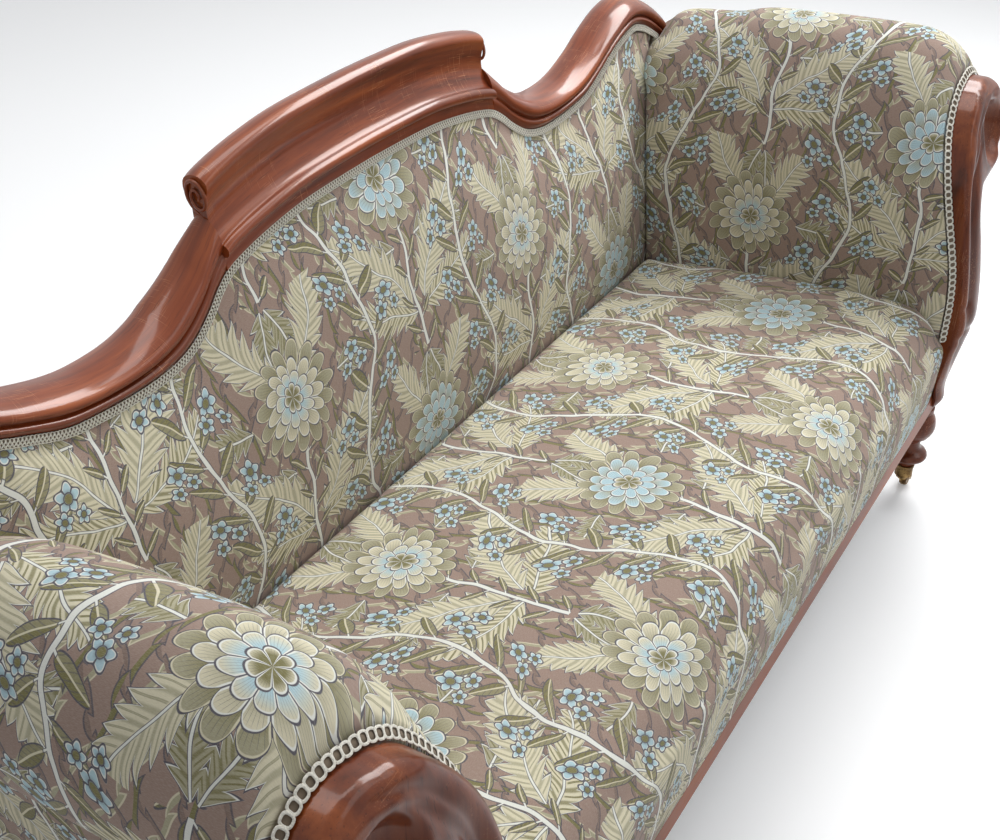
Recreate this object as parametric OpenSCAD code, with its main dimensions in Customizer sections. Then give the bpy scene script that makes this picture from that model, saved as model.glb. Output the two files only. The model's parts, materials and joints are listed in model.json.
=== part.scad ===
// Three-seater settee with a raised, scrolled back, padded scroll arms, turned legs and casters.
// All lengths are in millimetres. The front is -Y, the length runs along X, and Z is up.

/* [Seat] */
// Clear length of the seat between the arm pads
seat_len = 1512; // [1200:4:1900]
// Depth of the seat from the back to the front of the rail
seat_depth = 598; // [520:2:700]
// Height of the seat where it meets the back
seat_h = 421; // [380:1:470]
// Rise of the seat from the back to its front edge
seat_rise = 44; // [20:1:60]
// How far the seat's border stands in front of the show-wood
border_bulge = 11; // [4:1:18]

/* [Back] */
// Lean of the back from upright, in degrees
back_rake = 10.9; // [6:0.1:14]
// Height of the cloth at the middle of the back, above the seat
back_rise = 448; // [380:2:520]
// Fullness of the back pad in front of its edges
back_swell = 34; // [15:1:45]
// Height of the moulded crest rail
crest_w = 120; // [100:1:140]
// Depth of the roll along the top of the crest rail
crest_d = 40; // [30:1:50]
// Depth of the shoulder rails from front to back
shoulder_d = 68; // [60:1:80]

/* [Arms] */
// Width of each arm from its inner face to the outside of its roll
arm_w = 264; // [240:2:300]
// Height of the arm's roll above the seat
arm_h = 478; // [440:2:520]
// Height of the arm rail inside the roll
arm_rail_h = 58; // [44:1:60]
// Width of the arm rail inside the roll
arm_rail_w = 64; // [50:1:70]
// Radius of the scroll at the top of each arm facing
scroll_r = 89; // [75:1:95]
// Thickness of each arm facing at the scroll
facing_t = 54; // [40:1:60]

/* [Frame] */
// Depth of the seat from its surface at the back to the underside of its rails
seat_body_h = 216; // [200:1:240]
// Height of the front and side seat rails
rail_h = 95; // [80:1:110]
// Height of the rear seat rail
rear_rail_h = 125; // [110:1:135]
// Thickness of the seat rails and stiles
rail_t = 30; // [26:1:34]
// Height of the show-wood strip along the front
strip_h = 50; // [35:1:60]
// Thickness of the show-wood strip
strip_t = 13; // [8:1:16]
// Thickness of webbing, canvas and cloth
cloth_t = 2; // [1.5:0.1:2.5]

/* [Legs and casters] */
// Largest radius of the turned front legs
leg_r = 41; // [36:1:44]
// Side of the square rear legs at the top
rear_leg_w = 44; // [38:1:48]
// How far the rear legs lean back at their feet
rear_splay = 52; // [20:1:70]
// Radius of the caster wheels
wheel_r = 20; // [17:0.5:21]
// Width of the caster wheels
wheel_w = 14; // [10:0.5:16]
// Distance from the swivel axis to the axle
caster_trail = 28; // [26:0.5:34]
// Radius of the caster axles
axle_r = 2.5; // [2:0.1:3]
// Radius of the caster stems
stem_r = 4; // [3:0.1:5]

/* [Springs] */
// Number of springs along the seat
springs_long = 8; // [6:2:10]
// Number of springs from front to back
springs_deep = 3; // [2:1:4]
// Radius of a spring at its ends
spring_r = 42; // [30:1:44]

/* [Hidden] */

$fn = 48;
// Shared clearances and overruns
soft_gap = 0.4;
fit_gap = 0.1;
rail_gap = 0.8;
run_gap = 0.05;
cut_over = 1;
slope = tan(back_rake);

// Seat and frame places, as half lengths in X and places in Y with the seat's back line at zero
seat_half = seat_len / 2;
rail_z = seat_h - seat_body_h;
rail_top = rail_z + rail_h;
arm_frame_w = 126;
frame_half = seat_half + arm_frame_w;
stile_w = 86;
stile_in = frame_half - stile_w;
front_y = -seat_depth;
strip_back = front_y + strip_t;
rail_back = strip_back + rail_t;

// Back layers, as distances behind the raked back plane: canvas, frame, outside cloth
pad_back = 24;
frame_front = pad_back + cloth_t;
frame_back = frame_front + rail_t;
rear_top = rail_z + rear_rail_h;
rear_front = plane_y(rear_top) + frame_front;
rear_back = rear_front + rail_t;
pad_tuck = 63;
pad_low = seat_h - pad_tuck;
skin_inset = 10;
skin_low = rail_z + skin_inset;

// The seat pad, from its rear seam over the front edge and down to the show-wood
hessian_drop = 56;
hessian_z = seat_h - hessian_drop;
hessian_edge = 33;
seat_crown = 8;
seat_pad_half = seat_half - soft_gap;
// Shares of the seat's depth, of its rise and of the border's height below the seat, in that order
seat_top_shares = [[0, -0.2], [0.04, -0.06], [0.11, 0.02], [0.25, 0.32], [0.4, 0.58], [0.55, 0.78],
  [0.7, 0.92], [0.8, 0.99], [0.86, 1], [0.905, 0.92], [0.945, 0.7], [0.975, 0.3], [0.995, -0.2]];
seat_border_shares = [[1, 0.12], [1.2, 0.3], [1, 0.55], [0.7, 0.8], [0.25, 1]];

// The lower edge of the show-wood on the back: shares of half the seat and of the back's rise
show_line_shares = [[0, 1], [0.11, 0.997], [0.219, 0.989], [0.321, 0.967], [0.393, 0.943],
  [0.432, 0.922], [0.466, 0.886], [0.5, 0.839], [0.55, 0.788], [0.611, 0.762], [0.688, 0.757],
  [0.769, 0.766], [0.831, 0.781], [0.905, 0.826], [1.001, 0.888], [1.095, 0.922], [1.149, 0.904],
  [1.19, 0.871], [1.233, 0.826], [1.249, 0.797]];
crest_end_share = 0.432;
line_end_share = 1.233;
crest_half = crest_end_share * seat_half;
line_end = line_end_share * seat_half;
crest_stations = 36;
gimp_stations = 84;
show_step = 1;
outline_steps = 40;
gimp_w = 12;
gimp_t = 3.2;
// Section of the crest rail from its lower front edge: shares of its height and of its depth
crest_section_shares = [[0, 0], [0.01, -0.06], [0.135, -0.06], [0.155, -0.2], [0.195, -0.3],
  [0.245, -0.3], [0.28, -0.19], [0.292, -0.05], [0.35, 0.08], [0.46, 0.2], [0.58, 0.23],
  [0.7, 0.16], [0.8, 0.04], [0.88, -0.06], [0.94, -0.04], [0.985, 0.12], [1, 0.34], [0.985, 0.6],
  [0.94, 0.83], [0.87, 0.94], [0.78, 0.95], [0.7, 0.84], [0.62, 0.8], [0.4, 0.88], [0.2, 0.92],
  [0, 0.92]];
// Section of the shoulder rails: shares of the width between their two edges, and of their depth
shoulder_section_shares = [[0, 0], [0.08, -0.045], [0.18, -0.085], [0.27, -0.06], [0.315, 0],
  [0.35, 0.01], [0.42, -0.08], [0.56, -0.12], [0.72, -0.07], [0.86, 0.07], [0.96, 0.26],
  [1, 0.48], [0.96, 0.72], [0.82, 0.91], [0.58, 1], [0.28, 0.98], [0.08, 0.86], [0, 0.66]];
// Upper edge of the shoulder rails: share of half the seat on the show line, then the share of
// half the seat and of the back's rise for the point above it
shoulder_top_shares = [[0.432, 0.432, 1.179], [0.447, 0.446, 1.136], [0.466, 0.46, 1.087],
  [0.484, 0.479, 1.038], [0.5, 0.5, 0.993], [0.524, 0.529, 0.949], [0.55, 0.561, 0.911],
  [0.579, 0.593, 0.884], [0.611, 0.627, 0.866], [0.648, 0.659, 0.855], [0.688, 0.694, 0.85],
  [0.728, 0.73, 0.85], [0.769, 0.767, 0.855], [0.831, 0.817, 0.873], [0.905, 0.884, 0.906],
  [0.952, 0.934, 0.94], [1.001, 0.986, 0.973], [1.048, 1.04, 1.002], [1.095, 1.095, 1.018],
  [1.124, 1.135, 1.013], [1.149, 1.172, 0.998], [1.19, 1.225, 0.953], [1.233, 1.273, 0.886],
  [1.249, 1.294, 0.828]];
shoulder_subdivision = 2;

// The back pad's outline and fullness
pad_cols = 30;
pad_rows = 14;
pad_flat_share = 0.95;
pad_side_swell_share = 0.62;
pad_side_shares = [[0, 0], [0.89, 0], [0.95, 0.5], [1, 1]];

// Arm rail, post and tack rail places; the arm stands outside the seat
arm_x = seat_half;
arm_rail_lap = 14;
arm_rail_in = frame_half - arm_rail_lap;
arm_rail_out = arm_rail_in + arm_rail_w;
arm_rail_rise = 279;
arm_rail_z = seat_h + arm_rail_rise;
arm_rail_top = arm_rail_z + arm_rail_h;
tack_w = 26;
tack_h = 36;
arm_tack_h = 26;
tack_z = rear_top;
back_tack_rise = 20;
arm_pad_low = tack_z + cloth_t;
// Arm pad sections near the back and near the front: shares of the arm's width and height
arm_back_shares = [[0, -0.186], [0, -0.09], [0, 0], [0.022, 0.197], [0.106, 0.391], [0.223, 0.573],
  [0.417, 0.72], [0.64, 0.785], [0.79, 0.797], [0.936, 0.762], [0.992, 0.688], [0.943, 0.605],
  [0.81, 0.552], [0.64, 0.525], [0.49, 0.517]];
arm_front_shares = [[0, -0.186], [0, -0.09], [0, 0], [0, 0.207], [0, 0.395], [0.015, 0.563],
  [0.13, 0.772], [0.356, 0.943], [0.602, 1], [0.848, 0.943], [1, 0.803], [0.977, 0.657],
  [0.81, 0.563], [0.64, 0.525], [0.49, 0.517]];
// How far the back section has turned into the front one, along the arm from the back
arm_blend_shares = [[0, 0], [0.04, 0.26], [0.09, 0.46], [0.16, 0.55], [0.27, 0.64], [0.38, 0.82],
  [0.49, 0.9], [0.65, 0.96], [0.8, 1], [1, 1]];
arm_station_shares = [0, 0.04, 0.09, 0.16, 0.26, 0.37, 0.48, 0.6, 0.72, 0.82, 0.865, 0.9, 0.93,
  0.955, 0.975, 0.99, 1];
arm_round_share = 0.14;
arm_subdivision = 2;

// The facing: scroll, inner edge, side profile and carving
scroll_out = 173;
scroll_rise = 314;
scroll_x = arm_x + scroll_out;
scroll_z = seat_h + scroll_rise;
facing_in = arm_x + gimp_w + soft_gap;
facing_inset = 12;
facing_out = frame_half - facing_inset;
facing_h = scroll_z + scroll_r - rail_z;
// Inner edge: shares of the way from the inner edge to the scroll's centre, and of the facing's height
facing_inner_shares = [[0.34, 0.03], [0.24, 0.1], [0.1, 0.2], [0.01, 0.3], [0, 0.35], [0, 0.6],
  [0.025, 0.7], [0.11, 0.8], [0.273, 0.884], [0.484, 0.95], [0.7, 0.985]];
// Outer edge from the scroll down to the foot: shares of the facing's lower width and of its height
facing_outer_shares = [[1.02, 0.72], [0.9, 0.66], [0.93, 0.58], [1, 0.45], [1, 0.32], [0.98, 0.2],
  [0.9, 0.1], [0.92, 0.05], [0.84, 0.02]];
// Rear and front of the facing from the side: shares of the facing's reach and of its height
facing_reach = 88;
facing_rear_shares = [[0, 0], [0, 0.36], [0.01, 0.44], [0.08, 0.53], [0.23, 0.62], [0.43, 0.72],
  [0.66, 0.83], [0.84, 0.92], [0.98, 1.04], [1, 1.08]];
facing_front_shares = [[0, 0], [0.05, 0.03], [0.148, 0.06], [0.125, 0.116], [0.205, 0.186],
  [0.307, 0.268], [0.398, 0.341], [0.34, 0.454], [0.205, 0.58], [0, 0.724], [-0.18, 0.84], [-0.3, 0.9],
  [-0.375, 0.96], [-0.5, 1], [-0.68, 1.08]];
hollow_r = 46;
hollow_depth = 26;
eye_r = 17;
post_t = 30;
post_step = 60;
// Heights above the seat at which the facing's rear bends
bend_heights = [60, 120, 170, 220];

// The front legs: shares of their largest radius and of their height from the cup to the rail
leg_inset = 32;
leg_setback = 12;
leg_x = frame_half - leg_inset;
leg_y = rail_back - leg_setback;
spigot_r = 9;
spigot_h = 40;
cup_z = 38;
cup_h = 28;
cup_r = 17;
cup_web = 12;
cup_neck = 8;
cup_neck_share = 0.82;
leg_low = cup_z + cup_web;
leg_shares = [[0.36, 0.002], [0.42, 0.0745], [0.6, 0.108], [0.84, 0.147], [0.9, 0.197],
  [0.82, 0.2475], [0.6, 0.286], [0.5, 0.331], [0.49, 0.409], [0.56, 0.465], [0.78, 0.5205],
  [0.96, 0.621], [1, 0.71], [0.94, 0.8105], [0.78, 0.8885], [0.7, 0.911], [0.8, 0.933], [0.8, 1]];
leg_foot_share = 0.34;
rear_leg_inset = 34;
rear_leg_x = frame_half - rear_leg_inset;
rear_leg_y = rear_front + rear_leg_w / 2;
rear_foot_w = 26;
rear_cup_w = 33;
dowel_r = 5;
dowel_in = 20;
dowel_back_share = 0.62;
dowel_pitch = 18;

// Caster forks and wheels
wheel_z = wheel_r;
cheek_t = 3;
cheek_gap = 1.5;
cheek_r = 6;
crown_r = 11;
crown_t = 4.7;
swivel_gap = 0.3;
stem_h = 9;
hub_r = 6;
hub_t = 0.8;
tread_share = 0.9;
tread_flat_share = 0.54;

// Springs, webbing and cloth under the seat
spring_waist_share = 0.66;
spring_wall = 4;
web_w = 50;
web_t = cloth_t;
bottom_t = 1;
block_leg = 62;
block_h = 50;
block_inset = 12;
block_z = rail_z + block_inset;
muntin_w = 44;
muntin_x_share = 0.345;
cross_w = 32;
cross_h = 46;
screw_r = 2.5;
screw_head_r = 5;
screw_in = 16;
screw_head = 3;

// Shift that puts the middle of the depth at the origin
// The rail's rear bulge is furthest back at the shoulders' inner ends
rear_bulge_share = 0.58;
facing_front_share = 0.398;
shoulder_low = seat_h + back_rise * show_line_shares[5][1];
shoulder_high = seat_h + back_rise * shoulder_top_shares[0][2];
back_reach = plane_y(shoulder_low + (shoulder_high - shoulder_low) * rear_bulge_share) + shoulder_d;
front_reach = seat_depth + facing_reach * facing_front_share + cloth_t;
middle_y = (front_reach - back_reach) / 2;

// Place of the raked back plane in Y at height z
function plane_y(z) = (z - seat_h) * slope;

// Value of a table of pairs at x, with straight lines between its rows
function table_at(t, x, i = 0) = i >= len(t) - 2 || x <= t[i + 1][0]
  ? t[i][1] + (t[i + 1][1] - t[i][1]) * (x - t[i][0]) / (t[i + 1][0] - t[i][0])
  : table_at(t, x, i + 1);

// A point of a smooth curve through four rows of any width
function curve_mix(a, b, c, d, t) = 0.5 * (2 * b + (c - a) * t + (2 * a - 5 * b + 4 * c - d) * t * t
  + (3 * b - a - 3 * c + d) * t * t * t);

// A list of rows made finer: n steps to each row, on a smooth curve
function finer(p, n) = [for (i = [0:len(p) - 2]) for (k = [0:n - 1])
  curve_mix(p[max(i - 1, 0)], p[i], p[i + 1], p[min(i + 2, len(p) - 1)], k / n), p[len(p) - 1]];

// The same with straight lines
function finer_straight(p, n) = [for (i = [0:len(p) - 2]) for (k = [0:n - 1])
  p[i] + (p[i + 1] - p[i]) * k / n, p[len(p) - 1]];

// The show line: height of the wood's lower edge at a distance x from the middle
show_line = finer(show_line_shares, 4);
function show_z(x) = seat_h + back_rise * table_at(show_line, abs(x) / seat_half);

// The show line's slope as a direction, and the direction across it
function show_dir(x) = let (rise = show_z(x + show_step) - show_z(x - show_step),
  d = [2 * show_step, rise]) d / norm(d);

// Faces of a mesh of rings, with n points to a ring and m rings, closed at both ends
function ring_faces(n, m) = [for (j = [0:m - 2]) for (i = [0:n - 1]) let (k = (i + 1) % n)
  each [[j * n + i, j * n + k, (j + 1) * n + k], [j * n + i, (j + 1) * n + k, (j + 1) * n + i]]];
function end_caps(n, m) = [[for (i = [n - 1:-1:0]) i], [for (i = [0:n - 1]) (m - 1) * n + i]];

// Caps between the two halves of a ring whose second half runs back beside the first
function strip_cap(n, base, turn) = [for (i = [0:n / 2 - 2]) let (a = base + i, b = base + i + 1,
  c = base + n - 2 - i, d = base + n - 1 - i)
  each (turn ? [[a, d, c], [a, c, b]] : [[a, b, c], [a, c, d]])];

// A solid through rings of points with flat ends
module ring_solid(rings) {
  n = len(rings[0]);
  m = len(rings);
  polyhedron([for (r = rings) each r], concat(ring_faces(n, m), end_caps(n, m)));
}

// A solid through rings whose ends are closed by strips
module strip_solid(rings) {
  n = len(rings[0]);
  m = len(rings);
  polyhedron([for (r = rings) each r], concat(ring_faces(n, m), strip_cap(n, 0, true),
    strip_cap(n, (m - 1) * n, false)));
}

// A copy on the other side of the middle
module other_side(flip) {
  mirror([flip ? 1 : 0, 0, 0]) children();
}

// Moves a piece from the seat's back line to the part's own origin
module placed() {
  translate([0, middle_y, 0]) children();
}

// A block between two corners, given as X from and to, Y from and to, Z from and to
module block(x, y, z) {
  translate([x[0], y[0], z[0]]) cube([x[1] - x[0], y[1] - y[0], z[1] - z[0]]);
}

// A prism along X from a side view of [y, z] points
module side_prism(x, points) {
  translate([x[0], 0, 0]) rotate([90, 0, 90]) linear_extrude(x[1] - x[0]) polygon(points);
}

// A prism along Y from a front view of [x, z] points
module front_prism(y, points) {
  translate([0, y[1], 0]) rotate([90, 0, 0]) linear_extrude(y[1] - y[0]) polygon(points);
}

// Crest rail: its section carried along the show line
module crest_rail() {
  rings = [for (i = [0:crest_stations]) let (x = crest_half * (2 * i / crest_stations - 1))
    [for (s = crest_section_shares) let (z = show_z(x) + s[0] * crest_w)
      [x, plane_y(z) + s[1] * crest_d, z]]];
  color("sienna") placed() ring_solid(rings);
}

// Shoulder rail on the right: its section carried between its two edges
module shoulder_rail(flip) {
  rows = finer(shoulder_top_shares, shoulder_subdivision);
  rings = [for (r = rows) let (x0 = r[0] * seat_half + soft_gap, z0 = show_z(r[0] * seat_half),
    x1 = r[1] * seat_half + soft_gap, z1 = seat_h + back_rise * r[2])
    [for (s = shoulder_section_shares) let (z = z0 + (z1 - z0) * s[0])
      [x0 + (x1 - x0) * s[0], plane_y(z) + s[1] * shoulder_d, z]]];
  color("sienna") placed() other_side(flip) ring_solid(rings);
}

// Rear surface of the facing at height z, in Y
rear_line = finer(facing_rear_shares, 2);
function facing_rear(z) = front_y + facing_reach
  * table_at([for (r = rear_line) [r[1], r[0]]], (z - rail_z) / facing_h);

// Outline of the facing in the front view
inner_edge = [for (s = finer(facing_inner_shares, 2))
  [facing_in + s[0] * (scroll_x - facing_in), rail_z + s[1] * facing_h]];
outer_edge = [for (s = finer(facing_outer_shares, 2))
  [facing_in + s[0] * (facing_out - facing_in), rail_z + s[1] * facing_h]];
scroll_from = 112;
scroll_to = -52;
scroll_steps = 20;
scroll_arc = [for (i = [0:scroll_steps])
  let (a = scroll_from + (scroll_to - scroll_from) * i / scroll_steps)
  [scroll_x + scroll_r * cos(a), scroll_z + scroll_r * sin(a)]];

// Arm facing: the front outline and the side profile meet, and the scroll is hollowed round an eye
module arm_facing(flip) {
  side = concat([for (s = rear_line) [front_y + s[0] * facing_reach, rail_z + s[1] * facing_h]],
    [for (i = [len(facing_front_shares) - 1:-1:0]) let (s = facing_front_shares[i])
      [front_y - s[0] * facing_reach - cloth_t, rail_z + s[1] * facing_h]]);
  eye_y = facing_rear(scroll_z) - facing_t;
  color("sienna") placed() other_side(flip) {
    difference() {
      intersection() {
        front_prism([front_y - facing_reach, 0], concat(inner_edge, scroll_arc, outer_edge));
        side_prism([arm_x, scroll_x + scroll_r + cut_over], side);
      }
      translate([scroll_x, eye_y + hollow_depth, scroll_z]) rotate([90, 0, 0])
        difference() {
          cylinder(r = hollow_r, h = facing_t + hollow_depth);
          translate([0, 0, -cut_over]) cylinder(r = eye_r, h = facing_t + hollow_depth + 2 * cut_over);
        }
      screw_pair(screw_r + fit_gap / 2, screw_r + fit_gap / 2);
    }
  }
}

// Post behind the facing, which carries it and the front of the arm rail
module arm_post(flip) {
  heights = concat([rail_top, rail_top + post_step], [for (h = bend_heights) seat_h + h], [arm_rail_z]);
  side = concat([for (z = heights) [facing_rear(z), z]], [for (i = [len(heights) - 1:-1:0])
    [max(facing_rear(heights[i]) + post_t, rail_back), heights[i]]]);
  outline = [[stile_in, rail_top], [stile_in, core_z(3)], [core_x(4), core_z(4)],
    [core_x(5) + cloth_t, core_z(5)], [arm_rail_in, arm_rail_z], [frame_half, arm_rail_z],
    [frame_half, rail_top]];
  color("burlywood") placed() other_side(flip) difference() {
    intersection() {
      front_prism([front_y, 0], outline);
      side_prism([stile_in, frame_half], side);
    }
    screw_pair(screw_r + fit_gap / 2, screw_head_r + fit_gap / 2);
  }
}

// Inner outline of the arm pad, round the tack rail, the post and the arm rail
core_rises = [95, 180, 229];
core_out = 20;
core_points = [[stile_in - soft_gap, arm_pad_low], [stile_in - soft_gap, arm_pad_low + arm_tack_h],
  [stile_in - soft_gap, seat_h], [stile_in - soft_gap, seat_h + core_rises[0]],
  [stile_in - soft_gap, seat_h + core_rises[1]], [stile_in + core_out, seat_h + core_rises[2]],
  [arm_rail_in - rail_gap, arm_rail_top + rail_gap],
  [arm_rail_in + arm_rail_w / 4, arm_rail_top + rail_gap],
  [(arm_rail_in + arm_rail_out) / 2, arm_rail_top + rail_gap],
  [arm_rail_out - arm_rail_w / 4, arm_rail_top + rail_gap],
  [arm_rail_out + rail_gap, arm_rail_top + rail_gap],
  [arm_rail_out + rail_gap, arm_rail_z + arm_rail_h / 2],
  [arm_rail_out + rail_gap, arm_rail_z - rail_gap],
  [(frame_half + arm_rail_out) / 2, arm_rail_z - rail_gap],
  [frame_half + cloth_t + rail_gap, arm_rail_z - rail_gap]];
function core_x(i) = core_points[i][0];
function core_z(i) = core_points[i][1];

// Fullness of the back pad at its side, at height z
function side_swell(z) = back_swell * pad_side_swell_share
  * swell_share((z - pad_low) / (seat_h + back_rise * side_top_share - pad_low));
side_top_share = 0.9;
swell_power = 0.8;
function swell_share(v) = v <= 0 || v >= pad_flat_share ? 0
  : pow(sin(180 * v / pad_flat_share), swell_power);

// A padded arm: sections that change from back to front and round over towards the facing
module arm_pad(flip) {
  back = finer(arm_back_shares, arm_subdivision);
  front = finer(arm_front_shares, arm_subdivision);
  core = finer_straight(core_points, arm_subdivision);
  rings = [for (t = arm_station_shares) let (b = table_at(arm_blend_shares, t),
    w = max(0, (t - 1 + arm_round_share) / arm_round_share), e = 1 - sqrt(1 - w * w))
    concat([for (i = [0:len(back) - 1]) let (s = back[i] + (front[i] - back[i]) * b,
      x = arm_x + s[0] * arm_w, z = seat_h + s[1] * arm_h,
      end = facing_edge(x, z), px = x + (end[0] - x) * e, pz = z + (end[1] - z) * e)
      [px, arm_y(pz, x, t, pad_end_gap), pz]],
      [for (i = [len(core) - 1:-1:0])
        [core[i][0], arm_y(core[i][1], core[i][0], t, core_end_gap), core[i][1]]])];
  color("rosybrown") placed() other_side(flip) strip_solid(rings);
}

// Where the pad's surface comes to rest round the facing's gimp
edge_r = scroll_r + gimp_w + soft_gap;
edge_shares = [[-60, 1], [100, 1], [125, 1.06], [150, 1.15], [170, 1.26], [180, 1.37], [195, 1.59]];
edge_last = 195;
edge_turn = -90;
function facing_edge(x, z) = let (d = [x - scroll_x, z - scroll_z], raw = atan2(d[1], d[0]),
  a = raw < edge_turn ? raw + 360 : raw, r = edge_r * table_at(edge_shares, a))
  a > edge_last || norm(d) < r ? [x, z] : [scroll_x + r * cos(a), scroll_z + r * sin(a)];

// Place of a section's point along the arm: t is 0 at the back and 1 at the facing
roll_share = 0.9;
rail_front_share = 0.12;
pad_end_gap = 1.7;
core_end_gap = 7;
function arm_y(z, x, t, gap) = let (front = facing_rear(z) + gap,
  low = plane_y(z) - side_swell(z) - 2 * soft_gap,
  high = plane_y(z) - shoulder_d * rail_front_share - 2 * soft_gap,
  far = x > (z < arm_rail_top ? frame_half : arm_x + arm_w * roll_share),
  rear = far ? plane_y(z) + pad_back : (z > arm_rail_top ? high : low))
  rear + (front - rear) * t;

// Back pad: a full front face over a flat rear face, with plain sides behind the arm pads
pad_top_gap = 3.2;
pad_plain_in = 4;
pad_plain_x = seat_half - pad_plain_in;
pad_side_w = 110;
pad_side_turns = [1.5, 2];
side_power = 8;
module back_pad() {
  side = seat_half + pad_side_w;
  rows = concat([for (j = [0:pad_rows - 1]) pad_flat_share * j / (pad_rows - 1)], [1]);
  shares = concat([-pad_side_turns[1], -pad_side_turns[0]],
    [for (i = [0:pad_cols]) 2 * i / pad_cols - 1], pad_side_turns);
  function side_x(v) = side + (line_end - side) * table_at(pad_side_shares, v);
  function pad_x(u, v) = abs(u) <= 1 ? u * pad_plain_x
    : sign(u) * (pad_plain_x + (abs(u) - 1) * (side_x(v) - pad_plain_x));
  function pad_z(x, v) = pad_low + v * (show_z(x) - pad_top_gap - pad_low);
  function lift(u, v, z) = let (w = pow(min(1, abs(u)), side_power),
    near = back_swell * swell_share(v), far = v < pad_flat_share ? side_swell(z) : 0)
    near * (1 - w) + far * w;
  points = concat(
    [for (v = rows) for (u = shares) let (x = pad_x(u, v), z = pad_z(x, v))
      [x, plane_y(z) - lift(u, v, z), z]],
    [for (v = rows) for (u = shares) let (x = pad_x(u, v), z = pad_z(x, v))
      [x, plane_y(z) + pad_back - soft_gap, z]]);
  color("rosybrown") placed() polyhedron(points, sheet_faces(len(shares), pad_rows + 1));
}

// Faces of a closed sheet: a front grid, a rear grid and the edge round them
function sheet_faces(n, m) = concat(
  [for (j = [0:m - 2]) for (i = [0:n - 2]) let (a = j * n + i)
    each [[a, a + n, a + n + 1], [a, a + n + 1, a + 1]]],
  [for (j = [0:m - 2]) for (i = [0:n - 2]) let (a = n * m + j * n + i)
    each [[a, a + n + 1, a + n], [a, a + 1, a + n + 1]]],
  [for (i = [0:n - 2]) let (a = i, b = n * m + i) each [[a, a + 1, b + 1], [a, b + 1, b]]],
  [for (i = [0:n - 2]) let (a = (m - 1) * n + i, b = n * m + (m - 1) * n + i)
    each [[a, b + 1, a + 1], [a, b, b + 1]]],
  [for (j = [0:m - 2]) let (a = j * n, b = n * m + j * n) each [[a, b, b + n], [a, b + n, a + n]]],
  [for (j = [0:m - 2]) let (a = j * n + n - 1, b = n * m + j * n + n - 1)
    each [[a, b + n, b], [a, a + n, b + n]]]);

// Seat pad: crowned, rounded over the front edge and down to the show-wood
seat_cols = 24;
seat_rear_gap = 1.2;
dip_share = 0.757;
// The seat's rear edge lies against the fullness of the back pad
seat_rear_z = seat_h + seat_top_shares[0][1] * seat_rise;
seat_rear_y = plane_y(seat_rear_z) - seat_rear_gap
  - back_swell * swell_share((seat_rear_z - pad_low) / (seat_h + back_rise * dip_share - pad_low));
module seat_pad() {
  border_h = seat_h - rail_z - strip_h;
  top = [for (s = seat_top_shares) [min(seat_rear_y, -s[0] * seat_depth), seat_h + s[1] * seat_rise]];
  front = [for (s = seat_border_shares) [front_y - s[0] * border_bulge, seat_h - s[1] * border_h]];
  outer = concat(top, front);
  m = len(outer);
  low = rail_top + soft_gap + cloth_t;
  slope_y = rail_back + hessian_edge;
  inner = concat([for (i = [0:slope_row - 1]) [max(outer[i][0], slope_y), hessian_z + soft_gap]],
    [[(rail_back + slope_y) / 2, (hessian_z + rail_top) / 2 + soft_gap + cloth_t],
      [rail_back, low], [strip_back - soft_gap, low]],
    [for (i = [slope_row + 3:m - 1])
      [strip_back - soft_gap, min(outer[i][1], low - cloth_t * (i - slope_row - 2))]]);
  color("rosybrown") placed() polyhedron(concat(
    [for (p = outer) for (i = [0:seat_cols]) let (u = 2 * i / seat_cols - 1)
      [u * seat_pad_half, p[0], p[1] + seat_crown * (1 - u * u) * crown_share(p[0])]],
    [for (p = inner) for (i = [0:seat_cols]) let (u = 2 * i / seat_cols - 1)
      [u * seat_pad_half, p[0], p[1]]]),
    [for (f = sheet_faces(seat_cols + 1, m)) [f[2], f[1], f[0]]]);
}
slope_row = 10;
function crown_share(y) = let (v = -y / seat_depth) v <= 0 || v >= 1 ? 0 : sin(180 * v);

// Turned front leg with a spigot in the rail
module turned_leg(flip) {
  low = cup_z + cup_h;
  foot_r = leg_foot_share * leg_r;
  profile = concat([[0, leg_low], [foot_r, leg_low], [foot_r, low]],
    [for (s = finer(leg_shares, 2)) [s[0] * leg_r, low + s[1] * (rail_z - low)]],
    [[spigot_r, rail_z], [spigot_r, rail_z + spigot_h], [0, rail_z + spigot_h]]);
  color("sienna") placed() other_side(flip) translate([leg_x, leg_y, 0])
    rotate_extrude() polygon(profile);
}

// Square rear leg, tapered and leaning back
module square_leg(flip) {
  color("saddlebrown") placed() other_side(flip) difference() {
    union() {
      hull() {
        translate([rear_leg_x - rear_leg_w / 2, rear_leg_y - rear_leg_w / 2, rail_z - cut_over])
          cube([rear_leg_w, rear_leg_w, cut_over]);
        foot_block(cup_z + cup_h, cut_over);
      }
      foot_block(leg_low, cup_z + cup_h - leg_low + cut_over);
    }
    dowel_pair(dowel_r + fit_gap / 2);
  }
}

// Square length of the rear leg's foot
module foot_block(z, h) {
  translate([rear_leg_x - rear_foot_w / 2, rear_leg_y + rear_splay - rear_foot_w / 2, z])
    cube([rear_foot_w, rear_foot_w, h]);
}

// Two dowels on the right, across the joint of the rear leg and the stile, clear of the leg's lean
module dowel_pair(r) {
  for (k = [-1, 1])
    translate([rear_leg_x + k * dowel_pitch / 2, rear_front + dowel_back_share * rail_t, rail_z - dowel_in])
      cylinder(r = r, h = 2 * dowel_in);
}

// Front rail with the spigot holes of the front legs
module front_seat_rail() {
  color("burlywood") placed() difference() {
    block([-frame_half, frame_half], [strip_back, rail_back], [rail_z, rail_top]);
    for (side = [-1, 1]) translate([side * leg_x, leg_y, rail_z - cut_over])
      cylinder(r = spigot_r + fit_gap, h = spigot_h + fit_gap + cut_over);
  }
}

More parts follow.
